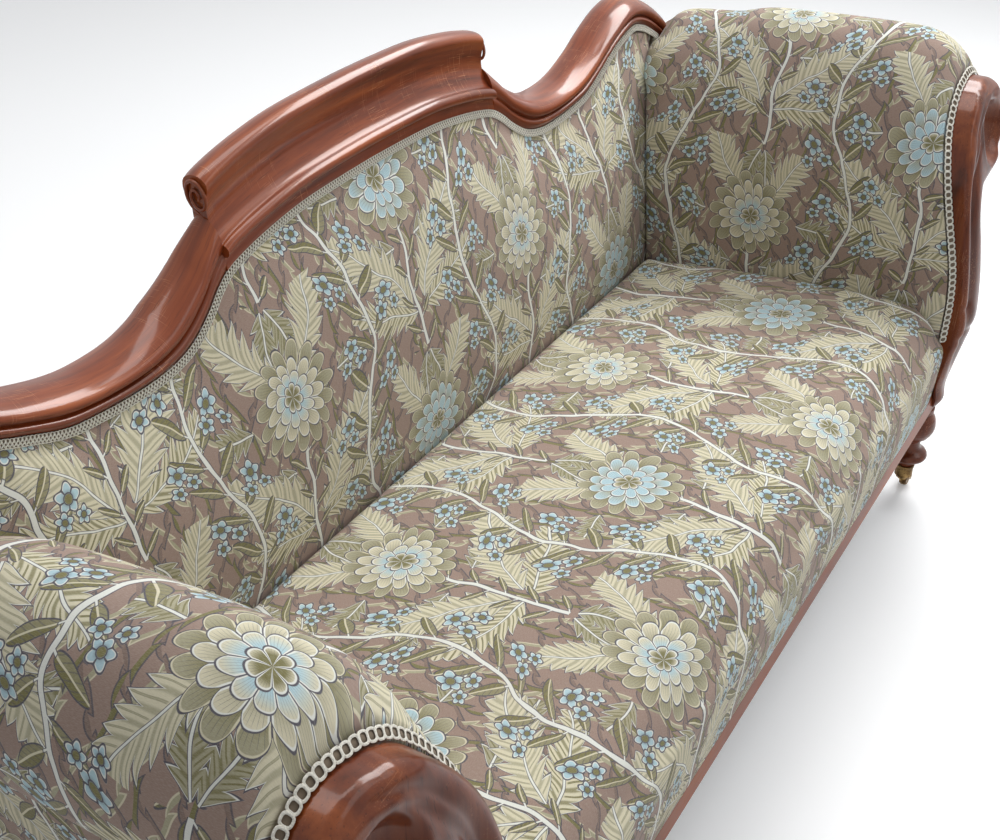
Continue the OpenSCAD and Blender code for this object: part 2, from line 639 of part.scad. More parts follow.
// Show-wood strip: shares of its thickness and of its height
strip_shares = [[1, 0], [0.2, 0], [0, 0.12], [0, 0.86], [0.25, 1], [1, 1]];
module front_show_moulding() {
  color("sienna") placed() side_prism([-frame_half, frame_half],
    [for (s = strip_shares) [front_y + s[0] * strip_t, rail_z + s[1] * strip_h]]);
}

module rear_seat_rail() {
  color("burlywood") placed() block([-stile_in, stile_in], [rear_front, rear_back], [rail_z, rear_top]);
}

module side_rail(flip) {
  color("burlywood") placed() other_side(flip)
    block([frame_half - rail_t, frame_half], [rail_back, rear_front], [rail_z, rail_top]);
}

module seat_cross_rail() {
  color("burlywood") placed()
    block([-cross_w / 2, cross_w / 2], [rail_back, rear_front], [rail_z, rail_z + cross_h]);
}

// Triangular blocks glued into the corners of the seat frame
module corner_blocks() {
  inner = frame_half - rail_t;
  color("tan") placed() for (side = [false, true]) other_side(side) {
    translate([0, 0, block_z]) linear_extrude(block_h)
      polygon([[inner, rail_back], [inner - block_leg, rail_back], [inner, rail_back + block_leg]]);
    translate([0, 0, block_z]) linear_extrude(block_h)
      polygon([[inner, rear_front], [inner, rear_front - block_leg], [inner - block_leg, rear_front]]);
  }
}

// Upright of the back from a side view: straight on the seat frame, then leaning
module upright(x, low, high) {
  side_prism(x, [[rear_front, low], [rear_back, low], [rear_back, rear_top],
    [plane_y(high) + frame_back, high], [plane_y(high) + frame_front, high], [rear_front, rear_top]]);
}

module back_stile(flip) {
  top = min(show_z(stile_in), show_z(frame_half)) - soft_gap;
  color("burlywood") placed() other_side(flip) difference() {
    upright([stile_in, frame_half], rail_z, top);
    dowel_pair(dowel_r + fit_gap / 2);
  }
}

muntin_x = muntin_x_share * seat_half;
module back_muntins() {
  top = show_z(muntin_x + muntin_w / 2) - soft_gap;
  color("burlywood") placed() for (side = [false, true]) other_side(side)
    side_prism([muntin_x - muntin_w / 2, muntin_x + muntin_w / 2], [[rear_front, rear_top],
      [rear_back, rear_top], [plane_y(top) + frame_back, top], [plane_y(top) + frame_front, top]]);
}

// Rail that the lower edge of the back cover is pulled over, between the uprights
module back_tack_rails() {
  low = rear_top + back_tack_rise;
  high = low + tack_h;
  bays = [[-stile_in, -muntin_x - muntin_w / 2], [muntin_w / 2 - muntin_x, muntin_x - muntin_w / 2],
    [muntin_x + muntin_w / 2, stile_in]];
  color("tan") placed() for (bay = bays) side_prism(bay, [[plane_y(low) + frame_front, low],
    [plane_y(low) + frame_back, low], [plane_y(high) + frame_back, high],
    [plane_y(high) + frame_front, high]]);
}

// Rail inside the roll, from the facing to the stile
module arm_rail(flip) {
  heights = [arm_rail_z, arm_rail_z + arm_rail_h / 2, arm_rail_top];
  color("burlywood") placed() other_side(flip) side_prism([arm_rail_in, arm_rail_out],
    concat([for (z = heights) [facing_rear(z) + soft_gap, z]],
      [for (i = [len(heights) - 1:-1:0]) [plane_y(heights[i]) + frame_front - run_gap, heights[i]]]));
}

module arm_tack_rails() {
  color("tan") placed() for (side = [false, true]) other_side(side)
    side_prism([stile_in, stile_in + tack_w], [[facing_rear(tack_z) + post_back(tack_z), tack_z],
      [rear_front - run_gap, tack_z],
      [plane_y(tack_z + arm_tack_h) + frame_front - run_gap, tack_z + arm_tack_h],
      [facing_rear(tack_z + arm_tack_h) + post_back(tack_z + arm_tack_h), tack_z + arm_tack_h]]);
}
// Distance from the facing to the rear of the post behind it
function post_back(z) = max(post_t, rail_back - facing_rear(z));

// Outline of the back between the seat frame and the show-wood, in the front view
function back_outline(half, low, margin) = concat([[-half, low], [half, low]],
  [for (i = [0:outline_steps]) let (x = half * (1 - 2 * i / outline_steps)) [x, show_z(x) - margin]]);

// A raked layer of the back between two distances behind the back plane
module back_layer(half, low, near, far, margin) {
  high = seat_h + back_rise + cut_over;
  intersection() {
    front_prism([-seat_depth, seat_depth], back_outline(half, low, margin));
    side_prism([-half, half], low < rear_top
      ? [[rear_front + near - frame_front, low], [rear_front + near - frame_front, rear_top],
        [plane_y(high) + near, high], [plane_y(high) + far, high],
        [rear_front + far - frame_front, rear_top], [rear_front + far - frame_front, low]]
      : [[plane_y(low) + near, low], [plane_y(high) + near, high], [plane_y(high) + far, high],
        [plane_y(low) + far, low]]);
  }
}

module back_canvas() {
  color("wheat") placed()
    back_layer(arm_rail_in - soft_gap, pad_low, pad_back, frame_front - run_gap, pad_top_gap);
}

module outside_back() {
  color("rosybrown") placed() back_layer(frame_half, skin_low, frame_back, frame_back + cloth_t, cloth_t);
}

// Flat covered panel on the outside of an arm
module outside_arm(flip) {
  heights = concat([skin_low, rail_top, seat_h], [for (h = bend_heights) seat_h + h],
    [arm_rail_z - soft_gap]);
  color("rosybrown") placed() other_side(flip) side_prism([frame_half, frame_half + cloth_t],
    concat([for (z = heights) [facing_rear(z) + soft_gap, z]], [
      [plane_y(arm_rail_z) + frame_back, arm_rail_z - soft_gap], [rear_back, rear_top],
      [rear_back, skin_low]]));
}

// Board that closes the rear end of the roll beside the stile
roll_end_rows = [14, 13, 12, 11, 10, 9];
roll_end_steps = 6;
module roll_end(flip) {
  high = seat_h + back_rise;
  low = seat_h;
  inner = frame_half + cloth_t + soft_gap;
  last = shoulder_top_shares[len(shoulder_top_shares) - 1];
  outer = [for (i = roll_end_rows) let (s = arm_back_shares[i])
    [arm_x + s[0] * arm_w, seat_h + s[1] * arm_h]];
  tip = [last[1] * seat_half, seat_h + back_rise * last[2] - soft_gap];
  wood_x = last[0] * seat_half;
  wood = [for (i = [0:roll_end_steps]) let (x = wood_x + (inner - wood_x) * i / roll_end_steps)
    [x, show_z(x) - 2 * soft_gap]];
  color("rosybrown") placed() other_side(flip) intersection() {
    front_prism([-seat_depth, seat_depth], concat([[inner, outer[0][1]]], outer, [tip], wood));
    side_prism([frame_half, arm_x + arm_w], [[plane_y(low) + frame_front, low],
      [plane_y(high) + frame_front, high],
      [plane_y(high) + frame_back, high], [plane_y(low) + frame_back, low]]);
  }
}

// Dust cover under the seat, cut out round the legs
module bottom_cloth() {
  z = rail_z - web_t - bottom_t;
  color("dimgray") placed() difference() {
    block([-frame_half, frame_half], [strip_back, rear_back], [z, rail_z - web_t]);
    for (side = [-1, 1]) {
      translate([side * leg_x, leg_y, z - cut_over]) cylinder(r = leg_r, h = web_t + 3 * cut_over);
      block(side > 0 ? [rear_leg_x - rear_leg_w, frame_half + cut_over]
        : [-frame_half - cut_over, rear_leg_w - rear_leg_x],
        [rear_front - rear_leg_w, rear_back + cut_over], [z - cut_over, rail_z + cut_over]);
    }
  }
}

// Webbing under the rails: bands from front to back, and one pair along the seat
module seat_webbing() {
  pitch = seat_len / springs_long;
  color("peru") placed() union() {
    for (i = [0:springs_long - 1]) let (x = (i + 0.5) * pitch - seat_half)
      block([x - web_w / 2, x + web_w / 2], [strip_back + web_t, rear_back - web_t],
        [rail_z - web_t, rail_z]);
    for (j = [0:springs_deep - 1])
      block([-frame_half + web_t, frame_half - web_t],
        [spring_y(j) - web_w / 2, spring_y(j) + web_w / 2], [rail_z - web_t, rail_z]);
  }
}
function spring_y(j) = rail_back + (rear_front - rail_back) * (j + 0.5) / springs_deep;

// Springs standing on the webbing: each a waisted sleeve of the coil's outer form
module seat_springs() {
  h = hessian_z - cloth_t - rail_z;
  pitch = seat_len / springs_long;
  color("silver") placed() for (i = [0:springs_long - 1]) for (j = [0:springs_deep - 1])
    translate([(i + 0.5) * pitch - seat_half, spring_y(j), rail_z]) rotate_extrude()
      polygon([[spring_r - spring_wall, 0], [spring_r, 0], [spring_r * spring_waist_share, h / 2],
        [spring_r, h], [spring_r - spring_wall, h],
        [spring_r * spring_waist_share - spring_wall, h / 2]]);
}

// Canvas over the springs, drawn down to the rails at its front and back
module spring_hessian() {
  color("wheat") placed() side_prism([-seat_pad_half, seat_pad_half], [
    [rail_back + hessian_edge, hessian_z], [rail_back, rail_top + cloth_t],
    [strip_back, rail_top + cloth_t],
    [strip_back, rail_top], [rail_back + cloth_t, rail_top],
    [rail_back + hessian_edge + cloth_t, hessian_z - cloth_t],
    [rear_front - hessian_edge - cloth_t, hessian_z - cloth_t], [rear_front - cloth_t, rear_top],
    [rear_front - cloth_t, rear_top - tack_w], [rear_front, rear_top - tack_w],
    [rear_front, rear_top], [rear_front - hessian_edge, hessian_z]]);
}

// Braid along the show line of the back
module back_gimp() {
  top = -soft_gap;
  low = -soft_gap - gimp_w;
  edge = [[low, -soft_gap], [low, -soft_gap - gimp_t], [top, -soft_gap - gimp_t], [top, -soft_gap]];
  rings = [for (i = [0:gimp_stations]) let (x = line_end * (2 * i / gimp_stations - 1), d = show_dir(x))
    [for (s = edge)
      let (z = show_z(x) + s[0] * d[0]) [x - s[0] * d[1], plane_y(z) + s[1], z]]];
  color("linen") placed() ring_solid(rings);
}

// Braid round the facing, in front of the pad's edge
module arm_gimp(flip) {
  path = concat([for (p = inner_edge) if (p[1] > seat_h + cloth_t) p],
    [for (i = [1:scroll_steps - 2]) scroll_arc[i]]);
  n = len(path);
  rings = [for (i = [0:n - 1]) let (a = path[max(i - 1, 0)], b = path[min(i + 1, n - 1)],
    d = (b - a) / norm(b - a), out = [-d[1], d[0]])
    [for (s = [[soft_gap, 0], [soft_gap, -gimp_t], [soft_gap + gimp_w, -gimp_t], [soft_gap + gimp_w, 0]])
      let (p = path[i] + out * s[0]) [p[0], facing_rear(p[1]) + s[1], p[1]]]];
  color("linen") placed() other_side(flip) ring_solid(rings);
}

// Dowels between the rear legs and the stiles
module leg_dowels() {
  color("tan") placed() for (side = [false, true]) other_side(side) dowel_pair(dowel_r);
}

// Screws through each post into the facing: shaft and head, or the hole alone
screw_rises = [20, 150];
module screw_pair(r, head_r) {
  for (rise = screw_rises) let (z = seat_h + rise, rear = facing_rear(z) + post_back(z))
    translate([(stile_in + frame_half) / 2, rear + screw_head, z]) rotate([90, 0, 0]) {
      cylinder(r = head_r, h = screw_head);
      cylinder(r = r, h = screw_head + post_back(z) + screw_in);
    }
}
module facing_screws() {
  color("gray") placed() for (side = [false, true]) other_side(side) screw_pair(screw_r, screw_head_r);
}

// Where each caster's swivel axis stands
front_foot = [leg_x, leg_y, 0];
rear_foot = [rear_leg_x, rear_leg_y + rear_splay, 0];
module at_foot(foot, flip) {
  placed() other_side(flip) translate(foot) children();
}

// Round cup for a turned leg: shares of its radius and of its height
cup_shares = [[0, 0], [0.82, 0], [1, 0.12], [0.97, 0.8], [1.06, 0.88], [1.06, 1], [0, 1]];
module round_cup(flip) {
  color("goldenrod") at_foot(front_foot, flip) difference() {
    rotate_extrude() polygon([for (s = cup_shares) [s[0] * cup_r, cup_z + s[1] * cup_h]]);
    translate([0, 0, leg_low]) cylinder(r = leg_foot_share * leg_r + fit_gap, h = cup_h);
    translate([0, 0, cup_z - cut_over]) cylinder(r = stem_r + run_gap, h = cup_web + 2 * cut_over);
  }
}

// Square cup for a plain leg
module square_cup(flip) {
  half = rear_cup_w / 2;
  hole = rear_foot_w / 2 + fit_gap;
  color("goldenrod") at_foot(rear_foot, flip) difference() {
    union() {
      block([-half, half], [-half, half], [cup_z + cup_neck, cup_z + cup_h]);
      translate([0, 0, cup_z]) cylinder(r = cup_r * cup_neck_share, h = cup_neck + cut_over);
    }
    block([-hole, hole], [-hole, hole], [leg_low, cup_z + cup_h + cut_over]);
    translate([0, 0, cup_z - cut_over]) cylinder(r = stem_r + run_gap, h = cup_web + 2 * cut_over);
  }
}

// Fork: a crown under the cup, a stem in it, and two cheeks down to the axle
module fork(foot, flip) {
  inner = wheel_w / 2 + cheek_gap;
  crown_z = cup_z - swivel_gap - crown_t;
  cheek_in = cheek_r * sin(45);
  color("darkgoldenrod") at_foot(foot, flip) difference() {
    union() {
      translate([0, 0, crown_z]) cylinder(r = crown_r, h = crown_t);
      translate([0, 0, cup_z - swivel_gap - cut_over]) cylinder(r = stem_r, h = stem_h + cut_over);
      for (y = [-inner - cheek_t, inner]) translate([0, y + cheek_t, 0]) rotate([90, 0, 0]) {
        linear_extrude(cheek_t) polygon([[-cheek_r, crown_z + crown_t], [-cheek_r, crown_z],
          [caster_trail - cheek_in, wheel_z - cheek_in], [caster_trail + cheek_in, wheel_z + cheek_in],
          [cheek_r, crown_z + crown_t]]);
        translate([caster_trail, wheel_z, 0]) cylinder(r = cheek_r, h = cheek_t);
      }
    }
    translate([caster_trail, inner + cheek_t + cut_over, wheel_z]) rotate([90, 0, 0])
      cylinder(r = axle_r + fit_gap / 2, h = 2 * (inner + cheek_t + cut_over));
  }
}

module axle(foot, flip) {
  half = wheel_w / 2 + cheek_gap + cheek_t;
  color("gray") at_foot(foot, flip) translate([caster_trail, half, wheel_z]) rotate([90, 0, 0])
    cylinder(r = axle_r, h = 2 * half);
}

// Wheel with a crowned tread and small hubs beside the cheeks
module wheel(foot, flip) {
  half = wheel_w / 2;
  color("darkgoldenrod") at_foot(foot, flip) translate([caster_trail, 0, wheel_z]) rotate([90, 0, 0])
    rotate_extrude() polygon([[axle_r + run_gap, -half - hub_t], [hub_r, -half - hub_t], [hub_r, -half],
      [wheel_r * tread_share, -half], [wheel_r, -half * tread_flat_share],
      [wheel_r, half * tread_flat_share], [wheel_r * tread_share, half], [hub_r, half],
      [hub_r, half + hub_t], [axle_r + run_gap, half + hub_t]]);
}

crest_rail();
shoulder_rail(true);  // left_shoulder_rail
shoulder_rail(false);  // right_shoulder_rail
arm_facing(true);  // left_arm_facing
arm_facing(false);  // right_arm_facing
front_show_moulding();
front_seat_rail();
rear_seat_rail();
side_rail(true);  // left_side_rail
side_rail(false);  // right_side_rail
seat_cross_rail();
corner_blocks();
back_stile(true);  // left_back_stile
back_stile(false);  // right_back_stile
back_muntins();
back_tack_rails();
arm_rail(true);  // left_arm_rail
arm_rail(false);  // right_arm_rail
arm_post(true);  // left_arm_post
arm_post(false);  // right_arm_post
arm_tack_rails();
turned_leg(true);  // front_left_leg
turned_leg(false);  // front_right_leg
square_leg(true);  // rear_left_leg
square_leg(false);  // rear_right_leg
seat_pad();
back_pad();
arm_pad(true);  // left_arm_pad
arm_pad(false);  // right_arm_pad
outside_arm(true);  // left_outside_arm
outside_arm(false);  // right_outside_arm
roll_end(true);  // left_roll_end
roll_end(false);  // right_roll_end
outside_back();
bottom_cloth();
seat_webbing();
seat_springs();
spring_hessian();
back_canvas();
back_gimp();
arm_gimp(true);  // left_arm_gimp
arm_gimp(false);  // right_arm_gimp
leg_dowels();
facing_screws();
round_cup(true);  // front_left_cup
round_cup(false);  // front_right_cup
square_cup(true);  // rear_left_cup
square_cup(false);  // rear_right_cup
fork(front_foot, true);  // front_left_fork
fork(front_foot, false);  // front_right_fork
fork(rear_foot, true);  // rear_left_fork
fork(rear_foot, false);  // rear_right_fork
axle(front_foot, true);  // front_left_axle
axle(front_foot, false);  // front_right_axle
axle(rear_foot, true);  // rear_left_axle
axle(rear_foot, false);  // rear_right_axle
wheel(front_foot, true);  // front_left_wheel
wheel(front_foot, false);  // front_right_wheel
wheel(rear_foot, true);  // rear_left_wheel
wheel(rear_foot, false);  // rear_right_wheel
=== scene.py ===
"""Three-seater settee with a moulded show-wood back, padded scroll arms, carved arm facings,
turned front legs and casters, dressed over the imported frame. Lengths in tables are millimetres
with the seat's back line at y = 0; pieces are placed in metres in the frame's own axes."""

import json
import math

import bmesh
import bpy
import numpy as np
from mathutils import Matrix, Vector
from mathutils.kdtree import KDTree

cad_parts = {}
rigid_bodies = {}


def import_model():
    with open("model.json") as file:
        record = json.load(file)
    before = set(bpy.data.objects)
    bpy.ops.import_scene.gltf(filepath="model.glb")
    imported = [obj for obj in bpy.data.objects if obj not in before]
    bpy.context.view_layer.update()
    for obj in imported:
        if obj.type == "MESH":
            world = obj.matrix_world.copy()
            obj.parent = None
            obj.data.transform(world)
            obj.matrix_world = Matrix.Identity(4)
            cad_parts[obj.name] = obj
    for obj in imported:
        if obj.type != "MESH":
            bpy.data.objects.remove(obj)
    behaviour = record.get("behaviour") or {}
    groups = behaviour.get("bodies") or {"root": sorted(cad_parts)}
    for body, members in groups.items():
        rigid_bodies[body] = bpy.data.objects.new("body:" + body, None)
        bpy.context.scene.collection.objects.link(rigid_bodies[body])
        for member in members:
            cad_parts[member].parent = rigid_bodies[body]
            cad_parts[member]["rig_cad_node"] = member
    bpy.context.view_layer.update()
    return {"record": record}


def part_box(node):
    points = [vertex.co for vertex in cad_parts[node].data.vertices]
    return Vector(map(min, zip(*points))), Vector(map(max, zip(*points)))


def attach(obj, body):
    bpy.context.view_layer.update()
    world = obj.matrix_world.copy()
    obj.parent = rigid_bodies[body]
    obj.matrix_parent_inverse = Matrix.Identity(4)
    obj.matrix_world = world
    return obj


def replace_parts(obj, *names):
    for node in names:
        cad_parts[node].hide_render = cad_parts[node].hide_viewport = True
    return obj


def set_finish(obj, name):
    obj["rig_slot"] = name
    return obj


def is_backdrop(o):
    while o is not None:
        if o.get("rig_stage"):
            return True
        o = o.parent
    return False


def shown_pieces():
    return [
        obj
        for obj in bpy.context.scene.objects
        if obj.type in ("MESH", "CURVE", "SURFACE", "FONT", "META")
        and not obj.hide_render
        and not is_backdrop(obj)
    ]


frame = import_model()

bl_info = {
    "name": "Scroll-arm settee",
    "version": (1, 0, 0),
    "blender": (4, 5, 0),
    "location": "View3D > Sidebar > Settee",
    "description": "Builds the visible wood, padding, braid and stage of a three-seater settee",
    "category": "Object",
}

BODY = "settee"
SIDES = ("left", "right")

# ---------------------------------------------------------------- sizes shared with the frame
SEAT_LEN, SEAT_DEPTH, SEAT_H, SEAT_RISE, BULGE = 1512.0, 598.0, 421.0, 44.0, 11.0
LEAN = math.radians(10.9)
RAKE = math.tan(LEAN)
BACK_RISE, BACK_SWELL, CREST_W, CREST_D, SHOULDER_D = 448.0, 34.0, 120.0, 40.0, 68.0
ARM_W, ARM_H, SCROLL_R = 264.0, 478.0, 89.0
RAIL_Z, RAIL_H, STRIP_H, STRIP_T, CLOTH_T = 205.0, 95.0, 50.0, 13.0, 2.0
SEAT_HALF = SEAT_LEN / 2
ARM_FRAME, STILE_W, ROLL_RISE, ROLL_CORE, RAIL_T, CANVAS_SLOPE = 126.0, 86.0, 279.0, 58.0, 30.0, 33.0
SPRING_COLUMNS, SPRING_ROWS = 8, 3
FRAME_HALF = SEAT_HALF + ARM_FRAME
STILE_IN = FRAME_HALF - STILE_W
PAD_BACK = 24.0
FRAME_BACK = 56.0
REAR_TOP = 330.0
PAD_LOW = SEAT_H - 63
MIDDLE_Y = 1000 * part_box("front_show_moulding")[0].y + SEAT_DEPTH

# outlines and sections, as shares of the sizes
show_line_shares = [[0, 1], [0.11, 0.997], [0.219, 0.989], [0.321, 0.967], [0.393, 0.943],
    [0.432, 0.922], [0.466, 0.886], [0.5, 0.839], [0.55, 0.788], [0.611, 0.762], [0.688, 0.757],
    [0.769, 0.766], [0.831, 0.781], [0.905, 0.826], [1.001, 0.888], [1.095, 0.922], [1.149, 0.904],
    [1.19, 0.871], [1.233, 0.826], [1.249, 0.797]]
crest_section_shares = [[0, 0], [0.01, -0.06], [0.135, -0.06], [0.155, -0.2], [0.195, -0.3],
    [0.245, -0.3], [0.28, -0.19], [0.292, -0.05], [0.35, 0.08], [0.46, 0.2], [0.58, 0.23],
    [0.7, 0.16], [0.8, 0.04], [0.88, -0.06], [0.94, -0.04], [0.985, 0.12], [1, 0.34],
    [0.985, 0.6], [0.94, 0.83], [0.87, 0.94], [0.78, 0.95], [0.7, 0.84], [0.62, 0.8], [0.4, 0.88],
    [0.2, 0.92], [0, 0.92]]
shoulder_section_shares = [[0, 0], [0.08, -0.045], [0.18, -0.085], [0.27, -0.06], [0.315, 0],
    [0.35, 0.01], [0.42, -0.08], [0.56, -0.12], [0.72, -0.07], [0.86, 0.07], [0.96, 0.26],
    [1, 0.48], [0.96, 0.72], [0.82, 0.91], [0.58, 1], [0.28, 0.98], [0.08, 0.86], [0, 0.66]]
shoulder_top_shares = [[0.432, 0.432, 1.072], [0.447, 0.447, 1.052], [0.466, 0.462, 1.03],
    [0.484, 0.481, 1.003], [0.5, 0.5, 0.975], [0.524, 0.529, 0.942], [0.55, 0.561, 0.911],
    [0.579, 0.593, 0.884], [0.611, 0.627, 0.866], [0.648, 0.659, 0.855], [0.688, 0.694, 0.85],
    [0.728, 0.73, 0.85], [0.769, 0.767, 0.855], [0.831, 0.817, 0.873], [0.905, 0.884, 0.906],
    [0.952, 0.934, 0.94], [1.001, 0.986, 0.973], [1.048, 1.04, 1.002], [1.095, 1.095, 1.018],
    [1.124, 1.135, 1.013], [1.149, 1.172, 0.998], [1.19, 1.225, 0.953], [1.233, 1.273, 0.886],
    [1.249, 1.294, 0.828]]
shoulder_deep_shares = [[0.432, 0.6], [0.466, 0.72], [0.5, 0.86], [0.56, 1], [1.3, 1]]
crest_half = 0.432 * SEAT_HALF
line_end = 1.233 * SEAT_HALF
seat_top_shares = [[0, -0.2], [0.04, -0.06], [0.11, 0.02], [0.25, 0.32], [0.4, 0.58],
    [0.55, 0.78], [0.7, 0.92], [0.8, 0.99], [0.86, 1], [0.905, 0.92], [0.945, 0.7], [0.975, 0.3],
    [0.995, -0.2]]
seat_border_shares = [[1, 0.12], [1.2, 0.3], [1, 0.55], [0.7, 0.8], [0.25, 1]]
arm_back_shares = [[0, -0.186], [0, -0.09], [0, 0], [0.022, 0.197], [0.106, 0.391],
    [0.223, 0.573], [0.417, 0.72], [0.64, 0.785], [0.79, 0.797], [0.936, 0.762], [0.992, 0.688],
    [0.943, 0.605], [0.81, 0.552], [0.64, 0.525], [0.49, 0.517]]
arm_front_shares = [[0, -0.186], [0, -0.09], [0, 0], [0, 0.207], [0, 0.395], [0.015, 0.563],
    [0.13, 0.772], [0.356, 0.943], [0.602, 1], [0.848, 0.943], [1, 0.803], [0.977, 0.657],
    [0.81, 0.563], [0.64, 0.525], [0.49, 0.517]]
arm_blend_shares = [[0, 0], [0.04, 0.26], [0.09, 0.46], [0.16, 0.55], [0.27, 0.64], [0.38, 0.82],
    [0.49, 0.9], [0.65, 0.96], [0.8, 1], [1, 1]]
edge_shares = [[-60, 1], [100, 1], [125, 1.06], [150, 1.15], [170, 1.26], [180, 1.37],
    [195, 1.59]]
facing_inner_shares = [[0.34, 0.03], [0.24, 0.1], [0.1, 0.2], [0.01, 0.3], [0, 0.35], [0, 0.6],
    [0.025, 0.7], [0.11, 0.8], [0.273, 0.884], [0.484, 0.95], [0.7, 0.985]]
facing_outer_shares = [[1.02, 0.72], [0.9, 0.66], [0.93, 0.58], [1, 0.45], [1, 0.32],
    [0.98, 0.2], [0.9, 0.1], [0.92, 0.05], [0.84, 0.02]]
facing_rear_shares = [[0, 0], [0, 0.36], [0.01, 0.44], [0.08, 0.53], [0.23, 0.62], [0.43, 0.72],
    [0.66, 0.83], [0.84, 0.92], [0.98, 1.04], [1, 1.08]]
facing_front_shares = [[0, 0], [0.05, 0.03], [0.148, 0.06], [0.125, 0.116], [0.205, 0.186],
    [0.307, 0.268], [0.398, 0.341], [0.34, 0.454], [0.205, 0.58], [0, 0.724], [-0.18, 0.84],
    [-0.3, 0.9], [-0.375, 0.96], [-0.5, 1], [-0.68, 1.08]]
FACING_REACH = 88.0
SCROLL_X = SEAT_HALF + 173
SCROLL_Z = SEAT_H + 314
FACING_IN = SEAT_HALF + 12.4
FACING_OUT = FRAME_HALF - 12
FACING_H = SCROLL_Z + SCROLL_R - RAIL_Z
ROLL_LOW = SEAT_H + ROLL_RISE
ARM_RAIL_TOP = ROLL_LOW + ROLL_CORE
SKIN_LOW = RAIL_Z + 10
STRIP_BACK = -SEAT_DEPTH + STRIP_T
RAIL_BACK = STRIP_BACK + RAIL_T
REAR_BACK = (REAR_TOP - SEAT_H) * RAKE + FRAME_BACK
REAR_FRONT = REAR_BACK - RAIL_T
HESSIAN_Z = SEAT_H - 56


# ---------------------------------------------------------------- curves and tables
def finer(rows, n):
    """A list of rows made finer on a smooth curve through them, n steps to each row."""
    p = np.asarray(rows, float)
    out = []
    for i in range(len(p) - 1):
        a, b, c, d = p[max(i - 1, 0)], p[i], p[i + 1], p[min(i + 2, len(p) - 1)]
        for k in range(n):
            t = k / n
            out.append(0.5 * (2 * b + (c - a) * t + (2 * a - 5 * b + 4 * c - d) * t * t
                              + (3 * b - a - 3 * c + d) * t ** 3))
    out.append(p[-1])
    return np.array(out)


def at(table, x):
    """Value of a table of pairs at x, straight between its rows and past its ends."""
    t = np.asarray(table, float)
    x = np.asarray(x, float)
    i = np.clip(np.searchsorted(t[:, 0], x) - 1, 0, len(t) - 2)
    a, b = t[i], t[i + 1]
    return a[..., 1] + (b[..., 1] - a[..., 1]) * (x - a[..., 0]) / (b[..., 0] - a[..., 0])


show_line = finer(show_line_shares, 12)


def show_z(x):
    """Height of the show-wood's lower edge."""
    return SEAT_H + BACK_RISE * at(show_line, np.abs(x) / SEAT_HALF)


def plane_y(z):
    """Depth of the raked plane of the back."""
    return (np.asarray(z, float) - SEAT_H) * RAKE


rear_line = finer(facing_rear_shares, 8)
front_line = finer(facing_front_shares, 8)


def facing_rear(z):
    """Depth of the facing's rear face; facing_front gives its front."""
    share = (np.asarray(z, float) - RAIL_Z) / FACING_H
    return -SEAT_DEPTH + FACING_REACH * at(rear_line[:, ::-1], share)


def facing_front(z):
    share = (np.asarray(z, float) - RAIL_Z) / FACING_H
    return -SEAT_DEPTH - FACING_REACH * at(front_line[:, ::-1], share) - CLOTH_T


def swell_share(v):
    """How full the back's stuffing is, from its lower edge at 0 to its upper edge at 1."""
    v = np.asarray(v, float)
    inside = (v > 0) & (v < 0.95)
    return np.where(inside, np.sin(math.pi * np.clip(v, 0, 0.95) / 0.95) ** 0.8, 0.0)


def side_swell(z):
    """The same at the back's sides, in millimetres."""
    return BACK_SWELL * 0.62 * swell_share((z - PAD_LOW) / (SEAT_H + BACK_RISE * 0.9 - PAD_LOW))


def lengths(points):
    """Running length along a list of points, from zero."""
    step = np.linalg.norm(np.diff(np.asarray(points, float), axis=0), axis=1)
    return np.concatenate([[0], np.cumsum(step)])


def smooth_between(a, b, x):
    """Smooth step of x from 0 at a to 1 at b."""
    t = np.clip((np.asarray(x, float) - a) / (b - a), 0, 1)
    return t * t * (3 - 2 * t)


def unit(rows):
    """Directions of length 1."""
    return rows / np.linalg.norm(rows, axis=1, keepdims=True)


def grid(x, y, z):
    """Points from three coordinates whose shapes fit together, such as a row and a column."""
    return np.stack(np.broadcast_arrays(x, y, z), axis=-1).astype(float)


# ---------------------------------------------------------------- meshes
def placed(points):
    """Millimetres from the seat's back line to metres in the frame's axes."""
    p = np.array(points, float)
    p[..., 1] += MIDDLE_Y
    return p / 1000


def piece(name, points, faces, uvs=None, smooth=True, body=BODY):
    """A mesh object from points in millimetres that rides on a body. uvs has one pair for
    each corner of each face, in metres on the cloth or along the wood."""
    mesh = bpy.data.meshes.new(name)
    mesh.from_pydata([tuple(p) for p in placed(points)], [], [tuple(f) for f in faces])
    if uvs is not None:
        layer = mesh.uv_layers.new(name="surface")
        layer.data.foreach_set("uv", np.asarray(uvs, float).reshape(-1))
    mesh.validate()
    if smooth:
        smoothed(mesh)
    mesh.update()
    obj = bpy.data.objects.new(name, mesh)
    bpy.context.scene.collection.objects.link(obj)
    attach(obj, body)
    return obj


def smoothed(mesh):
    mesh.polygons.foreach_set("use_smooth", [True] * len(mesh.polygons))


def reshaped(mesh, change):
    """Makes a change to a mesh's elements."""
    bm = bmesh.new()
    bm.from_mesh(mesh)
    change(bm)
    bm.to_mesh(mesh)
    bm.free()


def outward(obj):
    """Turns every face of a closed mesh to face out."""
    reshaped(obj.data, lambda bm: bmesh.ops.recalc_face_normals(bm, faces=bm.faces))
    return obj


def sharp_by_angle(obj, degrees):
    """Keeps edges sharper than the angle crisp under smooth shading."""
    def mark(bm):
        for e in bm.edges:
            if len(e.link_faces) == 2 and e.calc_face_angle(0) > math.radians(degrees):
                e.smooth = False
    reshaped(obj.data, mark)


def modified(obj):
    """Writes an object's modifiers into its mesh."""
    mesh = bpy.data.meshes.new_from_object(obj.evaluated_get(bpy.context.evaluated_depsgraph_get()))
    obj.modifiers.clear()
    obj.data = mesh
    return mesh


